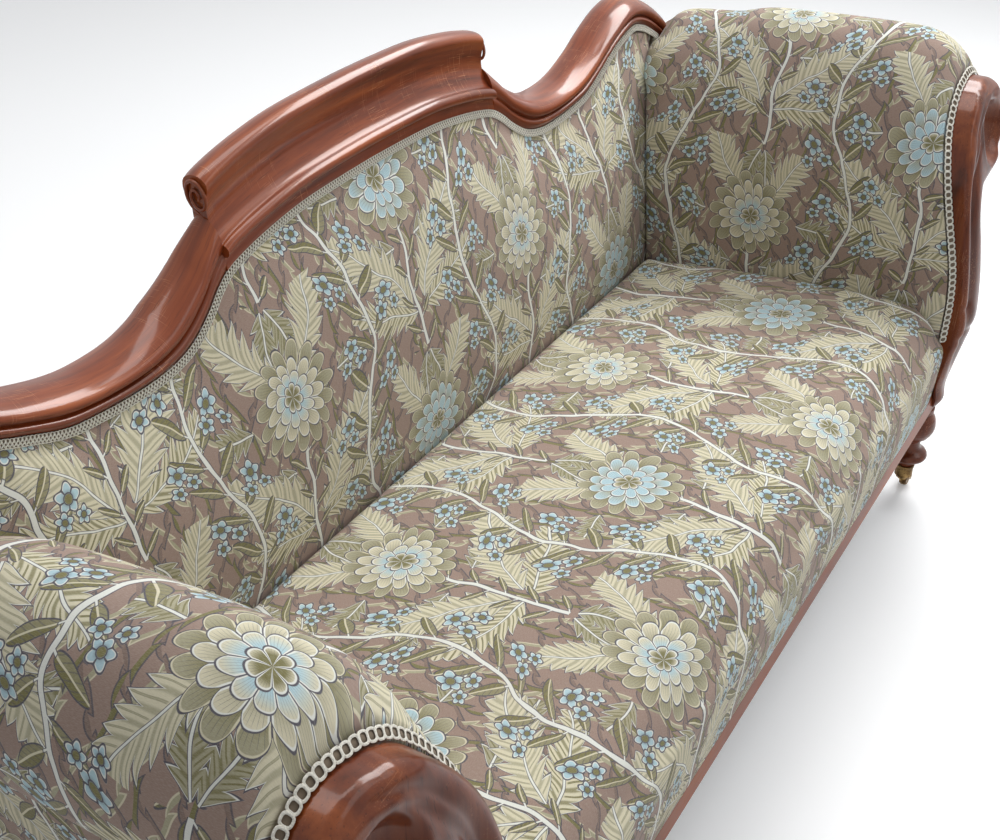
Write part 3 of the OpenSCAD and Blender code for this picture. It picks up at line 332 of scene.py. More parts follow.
def ring_faces(m, n, closed=False, caps=True):
    """Faces round m rings of n points: back to the first ring if closed, or with caps a flat end at
    each side, last."""
    j, i = np.meshgrid(np.arange(m if closed else m - 1), np.arange(n), indexing="ij")
    k, ahead = (i + 1) % n, (j + 1) % m
    faces = np.stack([j * n + i, j * n + k, ahead * n + k, ahead * n + i], -1).reshape(-1, 4).tolist()
    return faces + ([list(range(n))[::-1], [(m - 1) * n + i for i in range(n)]] if caps else [])


class Gathered:
    """Many small shapes gathered into one mesh."""

    def __init__(self):
        self.points, self.faces, self.pairs, self.total = [], [], [], 0

    def add(self, points, faces, pairs=()):
        """Adds a shape, with a pair for each corner of each face where the mesh has them."""
        self.points.append(points)
        self.faces += [[k + self.total for k in f] for f in faces]
        self.pairs += pairs
        self.total += len(points)

    def joined(self, name, **settings):
        return outward(piece(name, np.vstack(self.points), self.faces, self.pairs or None, **settings))


def loft(name, rings, mirror):
    """A closed solid through rings of points, with flat ends."""
    rings = np.asarray(rings, float)
    m, n = rings.shape[:2]
    around = lengths(np.vstack([rings[m // 2], rings[m // 2, :1]])) / 1000
    across = lengths(rings[:, 0]) / 1000
    faces = ring_faces(m, n)
    corners = [[(across[j], around[i]), (across[j], around[i + 1]), (across[j + 1], around[i + 1]),
                (across[j + 1], around[i])] for j in range(m - 1) for i in range(n)]
    corners += [[(y / 1000, z / 1000) for _, y, z in end] for end in (rings[0, ::-1], rings[-1])]
    if mirror:
        rings = rings * [-1, 1, 1]
        faces, corners = [f[::-1] for f in faces], [c[::-1] for c in corners]
    return outward(piece(name, rings.reshape(-1, 3), faces, [pair for c in corners for pair in c]))


def closed_sheet(name, front, rear, across, down, mirror=False):
    """A padded solid from a front grid and a rear grid of the same rows and columns. across gives
    each column's place on the cloth and down each row's, in metres."""
    m, n = front.shape[:2]
    base = m * n
    points = np.vstack([front.reshape(-1, 3), rear.reshape(-1, 3)])
    faces = []
    for j in range(m - 1):
        for i in range(n - 1):
            a = j * n + i
            faces += [(a, a + 1, a + n + 1, a + n), (base + a, base + a + n, base + a + n + 1, base + a + 1)]
    rim = [(a, 1, turn) for i in range(n - 1) for a, turn in ((i, 1), ((m - 1) * n + i, -1))]
    rim += [(a, n, turn) for j in range(m - 1) for a, turn in ((j * n, -1), (j * n + n - 1, 1))]
    faces += [(a, base + a, base + a + ahead, a + ahead)[::turn] for a, ahead, turn in rim]
    v = down if np.ndim(down) == 2 else np.reshape(down, (-1, 1))
    pairs = np.stack([np.broadcast_to(k, (m, n)).reshape(-1) for k in (across, v)], axis=1)
    uvs = pairs[[k % base for f in faces for k in f]]
    return outward(piece(name, points * [-1, 1, 1] if mirror else points, faces, uvs))


# ---------------------------------------------------------------- show-wood of the back
def build_crest():
    """The raised middle of the show-wood, with its bead, cove and roll."""
    section = finer(crest_section_shares, 4)
    x = np.linspace(-crest_half, crest_half, 145)[:, None]
    z = show_z(x) + section[:, 0] * CREST_W
    obj = loft("crest_moulding", grid(x, plane_y(z) + section[:, 1] * CREST_D, z), False)
    sharp_by_angle(obj, 50)
    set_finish(obj, "show_wood")
    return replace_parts(obj, "crest_rail")


def build_crest_volute(side):
    """Carved scroll on the crest's end: a ridge that winds in round the top roll."""
    turns, reach, eye, squeeze = 1.9, 23.0, 3.0, 0.74
    middle_y, middle_z = 0.38 * CREST_D, 0.77 * CREST_W
    thick, rise, sunk, sides = 3.0, 4.4, 1.6, 8
    t = np.linspace(0, 1, 150)
    turn = math.radians(-100) + t * 2 * math.pi * turns
    radius = reach * (1 - t) ** 0.8 + eye
    y = middle_y + radius * np.cos(turn) * squeeze
    z = middle_z + radius * np.sin(turn)
    high = float(show_z(crest_half)) + z
    out = 0.6 + rise * np.sin(np.clip(t * 3, 0, 1) * math.pi / 2)
    path = np.column_stack([crest_half + out - sunk, plane_y(high) + y, high])
    wide = thick * np.sin(np.clip(t * 6, 0.15, 1) * math.pi / 2) * (1 - 0.35 * t)
    points, faces = tube(path, wide, sides, up=(1.0, 0.0, 0.0))
    if side == "left":
        points = points * [-1, 1, 1]
    run = np.repeat(lengths(path), sides) / 1000
    around = np.tile(np.arange(sides) * 0.0016, len(path))
    uvs = [(run[k], around[k]) for f in faces for k in f]
    obj = outward(piece(f"{side}_crest_scroll_moulding", points, faces, uvs))
    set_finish(obj, "show_wood")
    return obj


def build_shoulder(side):
    """The dipped length of the show-wood from the crest to the arm."""
    rows = finer(shoulder_top_shares, 6)[:, None]
    along, deep = np.moveaxis(finer(shoulder_section_shares, 4), 1, 0)
    start, end, top = (rows[..., k] for k in range(3))
    x0, z0 = start * SEAT_HALF + 0.4, show_z(start * SEAT_HALF)
    x1, z1 = end * SEAT_HALF + 0.4, SEAT_H + BACK_RISE * top
    z = z0 + (z1 - z0) * along
    y = plane_y(z) + deep * (SHOULDER_D * at(shoulder_deep_shares, start))
    obj = loft(f"{side}_shoulder_moulding", grid(x0 + (x1 - x0) * along, y, z), side == "left")
    sharp_by_angle(obj, 50)
    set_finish(obj, "show_wood")
    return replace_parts(obj, f"{side}_shoulder_rail")


# ---------------------------------------------------------------- padding
def settle(obj, held, c):
    """Blows the pad out a little with a cloth simulation and keeps the result in the mesh. held is
    the share of the movement taken away at each point, and c the stuffing's settings."""
    rest = np.array([v.co for v in obj.data.vertices])
    mod = obj.modifiers.new("fill", "CLOTH")
    mod.settings.quality = 4
    mod.settings.mass = 0.2
    mod.settings.use_pressure = True
    mod.settings.uniform_pressure_force = c.pressure
    mod.settings.effector_weights.gravity = 0
    mod.settings.tension_stiffness = 25
    mod.settings.compression_stiffness = 25
    mod.settings.bending_stiffness = 1.5
    mod.collision_settings.use_collision = False
    first, last = 1, 20
    mod.point_cache.frame_start = first
    mod.point_cache.frame_end = last
    scene = bpy.context.scene
    for f in range(first, last + 1):
        scene.frame_set(f)
    graph = bpy.context.evaluated_depsgraph_get()
    eased = obj.evaluated_get(graph)
    moved = np.array([v.co for v in eased.data.vertices])
    scene.frame_set(first)
    obj.modifiers.remove(mod)
    shift = moved - rest
    size = np.linalg.norm(shift, axis=1, keepdims=True)
    shift *= np.minimum(1, c.reach / np.maximum(size, 1e-9)) * (1 - held)[:, None]
    obj.data.vertices.foreach_set("co", (rest + shift).reshape(-1))
    obj.data.update()


def filled(obj, free, c, wave=None, axis=0):
    """Stuffs a pad where it is free, from 0 to 1 at each point of its front, adds a slow wave along an
    axis and writes one subdivision into the mesh."""
    free = free.reshape(-1)
    settle(obj, np.concatenate([1 - free, np.ones(len(free))]), c)
    if wave is not None:
        co = np.array([v.co for v in obj.data.vertices])
        co[:len(free), axis] += wave.reshape(-1) * free * c.unevenness
        obj.data.vertices.foreach_set("co", co.reshape(-1))
    mod = obj.modifiers.new("finer", "SUBSURF")
    mod.levels = mod.render_levels = 1
    mod.uv_smooth = "PRESERVE_BOUNDARIES"
    old = obj.data
    smoothed(modified(obj))
    bpy.data.meshes.remove(old)


def soft_noise(x, y, seed):
    """A slow unevenness of stuffing in -1 to 1, the same on every run."""
    total = 0
    for k, (wx, wy) in enumerate(((310, 270), (190, 240), (130, 118), (83, 97))):
        phase = seed * 1.7 + k * 2.1
        total = total + np.sin(x / wx * 2 * math.pi + phase + 1.3 * np.sin(y / wy + phase)) * np.sin(
            y / wy * 2 * math.pi + 2.3 * phase) / (k + 1.5)
    return total / 1.6


def from_ends(count):
    """Steps to the nearer end, for each place in a row of count."""
    k = np.arange(count)
    return np.minimum(k, count - 1 - k)


def build_seat(c):
    """The long seat with its rounded front border, hollow over the springs."""
    border_h = SEAT_H - RAIL_Z - STRIP_H
    rear_z = SEAT_H - 0.2 * SEAT_RISE
    rear_y = plane_y(rear_z) - 1.2 - BACK_SWELL * swell_share(
        (rear_z - PAD_LOW) / (SEAT_H + BACK_RISE * 0.757 - PAD_LOW))
    top = [[min(rear_y, -s[0] * SEAT_DEPTH), SEAT_H + s[1] * SEAT_RISE] for s in seat_top_shares]
    edge = [[-SEAT_DEPTH - s[0] * BULGE, SEAT_H - s[1] * border_h] for s in seat_border_shares]
    profile = finer(top + edge, 6)
    # even steps along the profile
    run = lengths(profile)
    steps = np.linspace(0, run[-1], 64)
    y, z = (np.interp(steps, run, profile[:, k]) for k in (0, 1))
    front_y, canvas_z, low = -SEAT_DEPTH, HESSIAN_Z + 0.4, RAIL_Z + RAIL_H + 2.4
    slope_y, border_top, fall_from = RAIL_BACK + CANVAS_SLOPE, 400, 380
    slope = np.clip((slope_y - y) / (slope_y - front_y), 0, 1)
    under = [y > slope_y, z > border_top]
    in_y = np.select(under, [y, slope_y - slope * (slope_y - front_y - STRIP_T)], front_y + STRIP_T - 0.4)
    in_z = np.select(under, [canvas_z, canvas_z + (low - canvas_z) * slope], np.minimum(low, z))
    us = np.linspace(-1, 1, 131)
    us = np.sign(us) * (1 - (1 - np.abs(us)) ** 1.15)
    half = SEAT_HALF - 0.6
    crown = np.where((-y > 0) & (-y < SEAT_DEPTH), np.sin(math.pi * np.clip(-y / SEAT_DEPTH, 0, 1)), 0)
    fall = 7.0 * smooth_between(0.965, 1, np.abs(us)) ** 2
    y, z, crown, in_y, in_z = (k[:, None] for k in (y, z, crown, in_y, in_z))
    front = grid(us * half, y, z + 1000 * c.crown * (1 - us * us) * crown - fall * (z > fall_from))
    obj = closed_sheet("seat_cushion", front, grid(us * half, in_y, in_z), us * half / 1000, -steps / 1000)
    away = np.minimum((1 - np.abs(us)) * half, from_ends(len(steps))[:, None] * steps[1])
    filled(obj, smooth_between(0, 60, away), c, soft_noise(us * half, steps[:, None], 1), 2)
    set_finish(obj, "cover_cloth")
    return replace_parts(obj, "seat_pad")


def build_back(c):
    """The back under the show-wood's line, swelling forward, with flat ends behind the arms."""
    plain = SEAT_HALF - 4
    side = SEAT_HALF + 110
    rows = np.concatenate([0.95 * (1 - (1 - np.linspace(0, 1, 46)) ** 1.05), [0.967, 0.984, 1.0]])
    m, rows = len(rows), rows[:, None]
    side_share = at([[0, 0], [0.82, 0], [0.9, 0.45], [0.95, 0.62], [1, 1]], rows)
    cols = np.concatenate([[-2, -1.5], np.linspace(-1, 1, 151), [1.5, 2]])
    out = plain + (np.abs(cols) - 1) * (side + (line_end - side) * side_share - plain)
    x = np.where(np.abs(cols) <= 1, cols * plain, np.sign(cols) * out)
    z = PAD_LOW + rows * (show_z(x) - 3.2 - PAD_LOW)
    w = np.minimum(1, np.abs(cols)) ** 8
    swell = BACK_SWELL * swell_share(rows) * (1 - w) + np.where(rows < 0.95, side_swell(z), 0) * w
    obj = closed_sheet("back_cushion", grid(x, plane_y(z) - swell, z), grid(x, plane_y(z) + PAD_BACK - 0.4, z),
                       x / 1000, z / 1000 / math.cos(LEAN))
    k = np.arange(m)[:, None]
    edge = np.minimum(k / 4.0, (m - 1 - k) / 6.0)
    free = smooth_between(0, 1, edge) * smooth_between(0, 40, plain - np.abs(x))
    filled(obj, free, c, soft_noise(x, z, 2), 1)
    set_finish(obj, "cover_cloth")
    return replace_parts(obj, "back_pad")


core_points = [[STILE_IN - 0.4, REAR_TOP + 2], [STILE_IN - 0.4, REAR_TOP + 28],
    [STILE_IN - 0.4, SEAT_H], [STILE_IN - 0.4, SEAT_H + 95], [STILE_IN - 0.4, SEAT_H + 180],
    [STILE_IN + 20, SEAT_H + 229], [FRAME_HALF - 14.8, ROLL_LOW],
    *[[FRAME_HALF + x, ARM_RAIL_TOP + 0.8] for x in (-14.8, 2, 18, 34, 50.8)],
    *[[FRAME_HALF + x, ROLL_LOW - 0.8] for x in (50.8, 25, 2.8)]]


def facing_edge(x, z, share):
    """Draws points of the pad's section towards the line round the facing's braid, by a share."""
    braid_room, last_angle = 12.4, 195
    dx, dz = x - SCROLL_X, z - SCROLL_Z
    raw = np.degrees(np.arctan2(dz, dx))
    a = np.where(raw < -90, raw + 360, raw)
    r = (SCROLL_R + braid_room) * at(edge_shares, a)
    stay = (a > last_angle) | (np.hypot(dx, dz) < r)
    ex = np.where(stay, x, SCROLL_X + r * np.cos(np.radians(a)))
    ez = np.where(stay, z, SCROLL_Z + r * np.sin(np.radians(a)))
    return x + (ex - x) * share, z + (ez - z) * share


def arm_y(z, x, t, gap):
    """Depth of the arm's pad, from the back at t = 0 to a gap behind the facing at t = 1."""
    front = facing_rear(z) + gap
    low = plane_y(z) - side_swell(z) - 0.8
    tucked = smooth_between(-26, -10, z - show_z(x))
    high = plane_y(z) + 0.8 - (SHOULDER_D * 0.12 + 1.6) * tucked
    lower_far = (z < ARM_RAIL_TOP) & (x > FRAME_HALF)
    upper_far = (z >= ARM_RAIL_TOP) & (x > SEAT_HALF + ARM_W * 0.9)
    rear = np.where(lower_far | upper_far, plane_y(z) + PAD_BACK, np.where(z > ARM_RAIL_TOP - 24, high, low))
    return rear + (front - rear) * t


def build_arm(side, c):
    """A rolled arm round its core, from the back's section to the scroll's."""
    back, front = finer(arm_back_shares, 6), finer(arm_front_shares, 6)
    core = np.array([np.linspace(a, b, 6, endpoint=False) for a, b in zip(core_points, core_points[1:])])
    core = np.vstack([core.reshape(-1, 2), core_points[-1:]])
    # closer steps where the end closes in on the facing
    plain, closing = 0.86, 0.14
    last = plain + closing * np.sin(np.linspace(0, 1, 17)[1:] * math.pi / 2)
    t = np.concatenate([np.linspace(0, plain, 54), last])[:, None]
    blend = np.clip(at(finer(arm_blend_shares, 4), t), 0, 1)
    close = 1 - np.sqrt(np.maximum(0, 1 - np.maximum(0, (t - plain) / closing) ** 2))
    s = back + (front - back) * blend[..., None]
    x, z = facing_edge(SEAT_HALF + s[..., 0] * ARM_W, SEAT_H + s[..., 1] * ARM_H, close)
    outer = grid(x, arm_y(z, x, t, 1.7), z)
    inner = grid(core[:, 0], arm_y(core[:, 1], core[:, 0], t, 7), core[:, 1])
    sign = 1 if side == "right" else -1
    along = (sign * outer[:, :, 1] + 480 + 40 * sign) / 1000
    upward = np.broadcast_to(lengths(outer[30][:, [0, 2]]) / 1000 + 0.04, outer.shape[:2])
    obj = closed_sheet(f"{side}_arm_cushion", outer, inner, along, upward, mirror=side == "left")
    m, n = outer.shape[:2]
    filled(obj, smooth_between(0, 6, from_ends(m))[:, None] * smooth_between(0, 5, from_ends(n)), c)
    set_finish(obj, "cover_cloth")
    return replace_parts(obj, f"{side}_arm_pad")


# ---------------------------------------------------------------- carved arm facings
def facing_lines():
    """Inner edge with the scroll, and outer edge, as points in the front view."""
    edges = [finer([[FACING_IN + s[0] * (end - FACING_IN), RAIL_Z + s[1] * FACING_H] for s in shares], 8)
             for shares, end in ((facing_inner_shares, SCROLL_X), (facing_outer_shares, FACING_OUT))]
    a = np.radians(np.linspace(112, -52, 81))
    arc = np.column_stack([SCROLL_X + SCROLL_R * np.cos(a), SCROLL_Z + SCROLL_R * np.sin(a)])
    return edges[0], arc, edges[1]


def nearest(points, line):
    """Distance from each point to the nearest one of a line."""
    tree = KDTree(len(line))
    for i, p in enumerate(line):
        tree.insert((p[0], p[1], 0), i)
    tree.balance()
    return np.array([tree.find((x, z, 0))[2] for x, z in points])


def dense(line, step=1.0):
    """Points at an even step along a line."""
    run = lengths(line)
    s = np.arange(0, run[-1], step)
    return np.column_stack([np.interp(s, run, line[:, 0]), np.interp(s, run, line[:, 1])])


def build_facing(side):
    """A facing sawn to its outline, rounded over, hollowed along its stem and carved into a
    deep bowl with an eye inside the scroll."""
    depth, inner_round, outer_round = 60.0, 14.0, 24.0
    channel_in, channel_wide, channel_deep = 34, 17, 12.0
    bowl_r, bowl_deep, eye_r, eye_high, lip_r, lip_high = 54.0, 34, 13.0, 13, 59, 1.6
    knob_in, knob_z, knob_high, neck_z, neck_deep, collar_z, collar_deep = 42, 430, 4.5, 402, 6.0, 462, 2.6
    inner, arc, outer = facing_lines()
    outline = np.vstack([inner, arc, outer])
    points = [(x, y, z) for y in (0, depth) for x, z in outline]
    obj = outward(piece(f"{side}_facing_carved", points, ring_faces(2, len(outline))))
    mod = obj.modifiers.new("even", "REMESH")
    mod.mode = "VOXEL"
    mod.voxel_size = 0.0027
    mesh = modified(obj)
    co = np.array([v.co for v in mesh.vertices]) * 1000
    co[:, 1] -= MIDDLE_Y
    x, z = co[:, 0].copy(), co[:, 2].copy()
    q = np.clip(co[:, 1] / depth, 0, 1)
    flat = np.column_stack([x, z])
    e_in = nearest(flat, dense(np.vstack([inner, arc[:64]])))
    e_out = nearest(flat, dense(np.vstack([arc[60:], outer])))
    dx, dz = x - SCROLL_X, z - SCROLL_Z
    r = np.hypot(dx, dz)
    angle = np.degrees(np.arctan2(dz, dx))
    turn = np.where(angle < -90, angle + 360, angle)

    def quarter(e, radius):
        t = np.clip(radius - e, 0, radius)
        return radius - np.sqrt(np.maximum(radius * radius - t * t, 0))

    def groove(where, wide):
        return np.exp(-(where / wide) ** 2)

    cut = np.maximum(quarter(e_in, inner_round) * 0.8, quarter(e_out, outer_round) * 0.9)
    stem = smooth_between(SCROLL_Z + 6, SCROLL_Z - 80, z) * smooth_between(296, 372, z)
    cut = cut + stem * channel_deep * groove(e_in - channel_in, channel_wide)
    # the quirk beside the braid runs up the stem and closes on the scroll's top
    head = smooth_between(SCROLL_Z - 150, SCROLL_Z - 40, z) * smooth_between(48, 92, turn)
    quirk_at = np.interp(turn, [48, 100, 150, 180, 230], [7, 15, 23, 27, 24])
    cut = cut + head * (5.2 * groove(e_in - quirk_at, 2.6) - 2.2 * groove(e_in - quirk_at - 6.5, 4.0)
                        + 3.4 * groove(e_in - quirk_at - 14, 4.5))
    bowl = np.clip(1 - (r / bowl_r) ** 2, 0, 1) ** 0.62
    eye = np.clip(1 - (r / eye_r) ** 2, 0, 1) ** 0.5
    lip = groove(r - lip_r, 7.0)
    cut = cut + bowl_deep * bowl - eye_high * eye - lip_high * lip
    # tongue and knob where the stem meets the seat's front corner, over a turned-in groove
    knob = np.exp(-(((x - FACING_IN - knob_in) / 27) ** 2 + ((z - knob_z) / 19) ** 2))
    cut = cut - knob_high * knob + neck_deep * groove(z - neck_z, 7.0) * (1 - 0.4 * stem)
    cut = cut + collar_deep * groove(z - collar_z, 6.0) * (e_in < 46)
    near, far = facing_front(z), facing_rear(z)
    room = far - near - 4
    cut = np.minimum(cut, np.maximum(room, 0.5))
    co[:, 1] = near + (far - near) * q + cut * (1 - q) ** 2
    co[:, 1] = np.minimum(co[:, 1], far - 1.0 * (1 - q))
    if side == "left":
        co[:, 0] *= -1
    mesh.vertices.foreach_set("co", placed(co).reshape(-1))

    def ease(bm):
        for _ in range(7):
            bmesh.ops.smooth_vert(bm, verts=bm.verts, factor=0.5,
                                  use_axis_x=True, use_axis_y=True, use_axis_z=True)
    reshaped(mesh, ease)
    outward(obj)
    smoothed(mesh)
    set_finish(obj, "show_wood")
    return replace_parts(obj, f"{side}_arm_facing")


# ---------------------------------------------------------------- braid
def tube(path, radius, sides=6, caps=True, closed=False, up=(0.0, -1.0, 0.18)):
    """Points and faces of a round cord along a path of points; radius may differ by point."""
    path = np.asarray(path, float)
    d = unit(np.roll(path, -1, axis=0) - np.roll(path, 1, axis=0) if closed else np.gradient(path, axis=0))
    a = np.cross(d, np.array(up, float))
    a /= np.maximum(np.linalg.norm(a, axis=1, keepdims=True), 1e-9)
    b = np.cross(a, d)
    ang = np.arange(sides) * 2 * math.pi / sides
    wide = np.broadcast_to(np.asarray(radius, float), (len(path),))[:, None, None]
    around = np.cos(ang)[None, :, None] * a[:, None] + np.sin(ang)[None, :, None] * b[:, None]
    rings = path[:, None] + wide * around
    return rings.reshape(-1, 3), ring_faces(len(path), sides, closed, caps)


class Braid(Gathered):
    """Braid laid along a path: cords over a thin dark strip that stands for the shade in the holes between them
    (painted shade).
    """

    def __init__(self, path, normal, across, pitch):
        super().__init__()
        run = lengths(path)
        self.count = int(round(run[-1] / pitch))
        self.pitch = run[-1] / self.count
        self.run, self.path, self.normal, self.across = run, path, normal, across

    def at(self, s):
        """Base, outward, across and along at lengths s of the path."""
        base, out, over = (np.column_stack([np.interp(s, self.run, rows[:, i]) for i in range(3)])
                           for rows in (self.path, self.normal, self.across))
        return base, out, over, unit(np.cross(over, out))

    def lay(self, points, faces, mark=0.0):
        """Adds cords, or with mark 1 the dark strip under them, painted shade for the braid's holes."""
        self.add(points, faces, [(0.0, mark) for f in faces for _ in f])

    # A dark strip under the cords: painted shade that shows through the braid's holes.
    def shade_tape(self, half):
        base, out, over, _ = self.at(np.linspace(0, self.run[-1], self.count * 4 + 1))
        rows = np.stack([base + over * w + out * h
                         for w, h in ((-half, 0.2), (-half, 0.7), (half, 0.7), (half, 0.2))], 1)
        self.lay(rows.reshape(-1, 3), ring_faces(len(rows), 4), 1.0)

    def piece(self, name, nodes):
        obj = self.joined(name)
        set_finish(obj, "gimp_braid")
        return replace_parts(obj, nodes)


def chained(braid, width, swing):
    """Two cords of two strands each that cross over and under and leave two rows of holes."""
    cord_r, edge_r, sides = 0.52, 0.55, 5
    s = np.linspace(0, braid.run[-1], braid.count * 20 + 1)
    base, out, over, along = braid.at(s)
    phase = 2 * math.pi * s / braid.pitch
    for turn in (0, math.pi):
        p = phase + turn
        w = (width / 2 - 1.0) * np.sin(p)
        ahead = swing * np.sin(2 * p)
        high = 1.45 + 0.5 * np.cos(p)
        for strand in (-0.55, 0.55):
            line = base + over * (w + strand * 0.5)[:, None] + along * (ahead + strand)[:, None]
            braid.lay(*tube(line + out * high[:, None], cord_r, sides))
    for edge in (-1, 1):
        line = base + over * (edge * (width / 2 - 0.8) + 0.35 * np.cos(2 * phase))[:, None] + out
        braid.lay(*tube(line, edge_r, sides))


def looped(braid, width):
    """A row of square-shouldered loops of doubled cord, each tucked under the next."""
    cord_r, steps, sides = 0.58, 24, 5
    t = np.arange(steps) / steps * 2 * math.pi
    for n in range(braid.count):
        mid = (n + 0.5) * braid.pitch
        base, out, over, along = (a[0] for a in braid.at(np.array([mid])))
        for size, high in ((1.0, 1.35), (0.87, 1.5), (0.74, 1.4)):
            c, s = np.cos(t), np.sin(t)
            w = np.sign(c) * np.abs(c) ** 0.62 * (width / 2 - 0.7) * size
            a = np.sign(s) * np.abs(s) ** 0.75 * braid.pitch * (0.53 * size - 0.02)
            a = a * (1 + 0.10 * np.clip(w, 0, None) / width) + 0.9 * w / width
            lift = high + 0.35 * s
            ring = base + np.outer(w, over) + np.outer(a, along) + np.outer(lift, out)
            braid.lay(*tube(ring, cord_r, sides, caps=False, closed=True, up=out))


def build_back_braid():
    """The braid under the show-wood's lower edge."""
    x = np.linspace(-line_end + 1, line_end - 1, 800)
    z = show_z(x)
    d = unit(np.column_stack([np.gradient(x), np.gradient(z)]))
    below, pitch, width = 6.4, 11.0, 12.4
    px, pz = x + d[:, 1] * below, z - d[:, 0] * below
    normal = np.tile([0, -math.cos(LEAN), math.sin(LEAN)], (len(x), 1))
    across = np.column_stack([-d[:, 1], d[:, 0] * math.sin(LEAN), d[:, 0] * math.cos(LEAN)])
    braid = Braid(grid(px, plane_y(pz) - 0.4, pz), normal, across, pitch)
    chained(braid, width, 1.3)
    braid.shade_tape(5.2)
    return braid.piece("back_braid", "back_gimp")


def build_arm_braid(side):
    """The looped braid round a facing, from the seat to the scroll's underside, leaning outward."""
    inner, arc, _ = facing_lines()
    line = dense(np.vstack([inner[inner[:, 1] > SEAT_H - 22], arc[1:72]]), 4.0)
    d = unit(np.gradient(line, axis=0))
    beyond, pitch, width = 6.9, 11.4, 15.0
    x, z = line[:, 0] - d[:, 1] * beyond, line[:, 1] + d[:, 0] * beyond
    rear, rise = facing_rear(z), np.gradient(z)
    slope = np.gradient(rear) / np.where(np.abs(rise) < 0.2, 1e9, rise)
    normal, across = unit(grid(0, -1, slope)), grid(-d[:, 1], 0, d[:, 0])
    lean = math.radians(40)
    normal, across = (math.cos(lean) * normal + math.sin(lean) * across,
                      math.cos(lean) * across - math.sin(lean) * normal)
    sign = [-1 if side == "left" else 1, 1, 1]
    braid = Braid(grid(x, rear - 4.4, z) * sign, normal * sign, across * sign, pitch)
    looped(braid, width)
    braid.shade_tape(5.8)
    return braid.piece(f"{side}_arm_braid", f"{side}_arm_gimp")


# ---------------------------------------------------------------- covers, lining and springs
def taut_sheet(name, front, thick, nodes, slot, away=(0, 1, 0), mirror=False):
    """A cloth stretched over the frame: a grid of points and the same grid a thickness away."""
    run = lengths(front[:, front.shape[1] // 2]) / 1000
    wide = lengths(front[front.shape[0] // 2]) / 1000
    obj = closed_sheet(name, front, front + np.array(away, float) * thick, wide - wide[-1] / 2, -run, mirror)
    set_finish(obj, slot)
    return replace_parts(obj, nodes) if nodes else obj


def hollow(u, v, deep):
    """How far cloth draws in between the timbers it is stretched over, for shares 0 to 1."""
    return deep * (np.clip(4 * u * (1 - u), 0, 1) * np.clip(4 * v * (1 - v), 0, 1)) ** 0.6


def build_outside_back():
    """The cover behind the back, puckered under the show-wood."""
    v = np.concatenate([np.linspace(0, 0.97, 60), [0.985, 1.0]])[:, None]
    u = np.linspace(-1, 1, 141)
    x = u * (FRAME_HALF - 0.5)
    top = show_z(x) - CLOTH_T - 1.2
    z = SKIN_LOW + v * (top - SKIN_LOW)
    drawn = hollow(np.abs(((u + 1) * 1.5) % 1), np.clip((z - 300) / (top - 300), 0, 1), 1.8) * (z > 300)
    y = plane_y(np.maximum(z, REAR_TOP)) + FRAME_BACK + 1.9 - drawn
    y = y + 0.5 * np.sin(x / 9.5) * np.exp(-(top - z) / 16.0)
    return taut_sheet("outside_back_cover", grid(x, y, z), CLOTH_T,
                      "outside_back", "cover_cloth")


def build_outside_arm(side):
    """The cover outside an arm, puckered along its edges."""
    v = np.linspace(0, 1, 60)[:, None]
    t = np.linspace(0, 1, 41)
    z = SKIN_LOW + v * (ROLL_LOW - 0.8 - SKIN_LOW)
    near = facing_rear(z) + 1.2
    y = near + (plane_y(np.maximum(z, REAR_TOP)) + FRAME_BACK - near) * t
    ripple = 0.35 * np.sin(y / 8.5) * (np.exp(-v * 30) + np.exp(-(1 - v) * 30))
    x = FRAME_HALF + CLOTH_T + 1.6 - hollow(t, v, 1.5) + ripple
    return taut_sheet(f"{side}_outside_arm_cover", grid(x, y, z), CLOTH_T,
                      f"{side}_outside_arm",
                      "cover_cloth", away=(-1, 0, 0), mirror=side == "left")


def build_corner_cover(side):
    """Cover cloth over the front rail's end, between the seat's border and the facing."""
    x = np.linspace(SEAT_HALF - 6, SEAT_HALF + 74, 24)
    down = np.linspace(0, 1, 44)[:, None]
    z = SEAT_H - 4 + down * (RAIL_Z + STRIP_H + 0.6 - SEAT_H + 4)
    bulge = 3.0 * np.sin(math.pi * down) * np.exp(-((x - SEAT_HALF) / 16.0) ** 2)
    return taut_sheet(f"{side}_corner_cover", grid(x, STRIP_BACK - 2.6 - bulge, z), 1.6,
                      (), "cover_cloth", mirror=side == "left")


def build_post_cover(side):
    """Cover cloth on the front of the arm post, beside the facing."""
    line = facing_lines()[2]
    line = line[np.argsort(line[:, 1])]
    z = np.linspace(ROLL_LOW - 1, SKIN_LOW, 60)[:, None]
    start = np.minimum(np.interp(z, line[:, 1], line[:, 0]), FRAME_HALF) - 14
    x = start + (FRAME_HALF + CLOTH_T + 1.8 - start) * np.linspace(0, 1, 12)
    return taut_sheet(f"{side}_post_cover", grid(x, facing_rear(z) - 2.2, z), 1.6,
                      (), "cover_cloth", mirror=side == "left")


